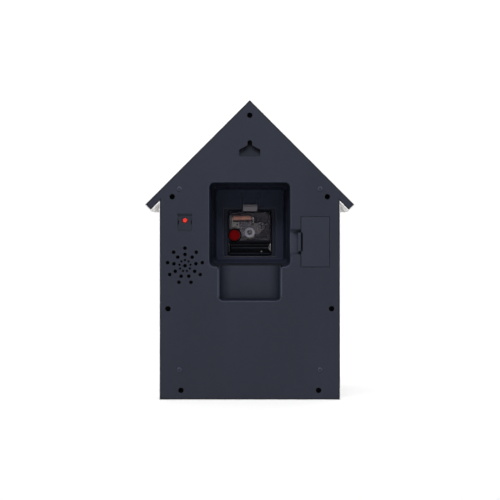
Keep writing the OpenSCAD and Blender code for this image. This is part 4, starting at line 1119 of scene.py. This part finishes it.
def pendulum_bob():
    """A turned brass disc with a shallow groove round its centre and a thin edge."""
    low, high = box_of("pendulum_bob")
    at = (low + high) / 2
    r, depth = (high.x - low.x) / 2, (high.y - low.y) / 2
    bm = bmesh.new()
    front = [(0, 1.0), (2.0, 0.985), (2.3, 0.95), (2.6, 0.985)]
    for k in range(1, 17):
        t = k / 16
        front.append((2.6 + 15.9 * t, 0.985 - 0.32 * t ** 2.2))
    front += [(18.8, 0.6), (19.0, 0.52), (19.5, 0.36), (19.9, 0.18), (r / MM, 0.0)]
    profile = [(a, -b) for a, b in front] + front[-2::-1]
    lathe(bm, [(a * MM, at.y + b * depth) for a, b in profile], (at.x, 0, at.z), steps=120)
    stand_in("pendulum_bob", "_turned", bm, crease=0.9)


def pendulum_coil():
    """A coil wound in ridges on a round former with two flanges."""
    low, high = box_of("pendulum_coil")
    at = (low + high) / 2
    turns = 20
    r = (high.x - low.x) / 2
    profile = [(2 * MM, low.z), (r, low.z), (r, low.z + 0.6 * MM), (r - 0.6 * MM, low.z + 0.6 * MM)]
    step = (high.z - low.z - 1.2 * MM) / turns
    for k in range(turns):
        z = low.z + 0.6 * MM + k * step
        profile += [(r - 0.55 * MM, z + 0.1 * step), (r - 0.35 * MM, z + 0.5 * step),
                    (r - 0.55 * MM, z + 0.9 * step)]
    profile += [(r - 0.6 * MM, high.z - 0.6 * MM), (r, high.z - 0.6 * MM), (r, high.z), (2 * MM, high.z)]
    bm = bmesh.new()
    lathe(bm, profile + [(2 * MM, low.z)], (at.x, at.y, 0), "Z", 48)
    bmesh.ops.remove_doubles(bm, verts=bm.verts, dist=1e-7)
    stand_in("pendulum_coil", "_wound", bm, ["coil_wound_up"], 0.9)


def wires():
    """The three wire looms, rounded."""
    for node in ("speaker_wires", "battery_wires", "motor_wires"):
        bm = bmesh.new()
        bm.from_mesh(NODES[node].data)
        bmesh.ops.remove_doubles(bm, verts=bm.verts, dist=2e-6)
        bmesh.ops.join_triangles(bm, faces=bm.faces, angle_face_threshold=0.5, angle_shape_threshold=3.1)
        obj = stand_in(node, "_soft", bm, crease=3.2)
        obj.modifiers.clear()
        smooth = obj.modifiers.new("round", "SUBSURF")
        smooth.levels = smooth.render_levels = 2


back_cover()
shell()
bezel()
push_button()
board()
speaker()
battery_springs()
movement()
dial()
window()
bird()
pendulum()
wires()


# -------- stage

def stage():
    """A pale paper floor that bends up into a backdrop."""
    reach, rise, bend = 3.0, 2.4, 0.9
    bm = bmesh.new()
    profile = [(0.95, 0.0), (-reach + bend, 0.0)]
    for step in range(1, 13):
        a = step / 12 * math.pi / 2
        profile.append((-reach + bend - bend * math.sin(a), bend - bend * math.cos(a)))
    profile.append((-reach, rise))
    rows = [[bm.verts.new((x, y, z)) for y, z in profile] for x in (-reach * 1.5, reach * 1.5)]
    for i in range(len(profile) - 1):
        bm.faces.new((rows[0][i], rows[0][i + 1], rows[1][i + 1], rows[1][i]))
    floor = new_object("stage_sweep", bm)
    n = Nodes("stage_paper")
    paper = n.ramp(n.noise(3, 2), (0.3, (0.62, 0.62, 0.62)), (0.7, (0.64, 0.64, 0.64)))
    dress(floor, n.finish(Base_Color=paper, Roughness=0.95, Specular_IOR_Level=0.1,
                          Emission_Color=(1, 1, 1, 1), Emission_Strength=0.26))


def area_light(name, place, target, size, power):
    data = bpy.data.lights.new(name, "AREA")
    data.shape = "RECTANGLE"
    data.size, data.size_y = size
    data.energy = power
    light = placed(name, data)
    light.location = place
    light.rotation_euler = (Vector(target) - Vector(place)).to_track_quat("-Z", "Y").to_euler()


def lighting():
    world = bpy.data.worlds.new("studio")
    bpy.context.scene.world = world
    world.use_nodes = True
    background = world.node_tree.nodes["Background"]
    background.inputs["Color"].default_value = (1, 1, 1, 1)
    background.inputs["Strength"].default_value = 0.17
    clock = (0, 0, 0.2)
    area_light("key_back", (0.1, 0.62, 1.2), (0, 0, 0.26), (1.0, 0.45), 17)
    area_light("backdrop", (0, -0.9, 1.9), (0, -3, 0.7), (2.4, 0.5), 60)
    area_light("key_front", (-0.5, -1.6, 1.7), clock, (1.2, 0.8), 16)
    area_light("fill_left", (1.7, 0.35, 0.9), clock, (0.7, 1.1), 9)
    area_light("fill_right", (-1.7, 0.35, 0.9), clock, (0.7, 1.1), 9)
    bpy.context.scene.view_settings.view_transform = "Standard"


def camera():
    """Straight-on rear view. The frame is 0.625 m wide at the cover's face."""
    distance, field, sensor = 2.1, 0.625, 36.0
    across, height = -0.3 * MM, 187.5 * MM
    data = bpy.data.cameras.new("rear_camera")
    data.sensor_width = sensor
    data.lens = sensor * distance / field
    obj = placed("rear_camera", data)
    obj.location = (across, BACK_Y + distance, height)
    obj.rotation_euler = (math.pi / 2, 0, math.pi)
    bpy.context.scene.camera = obj


camera()
lighting()
stage()
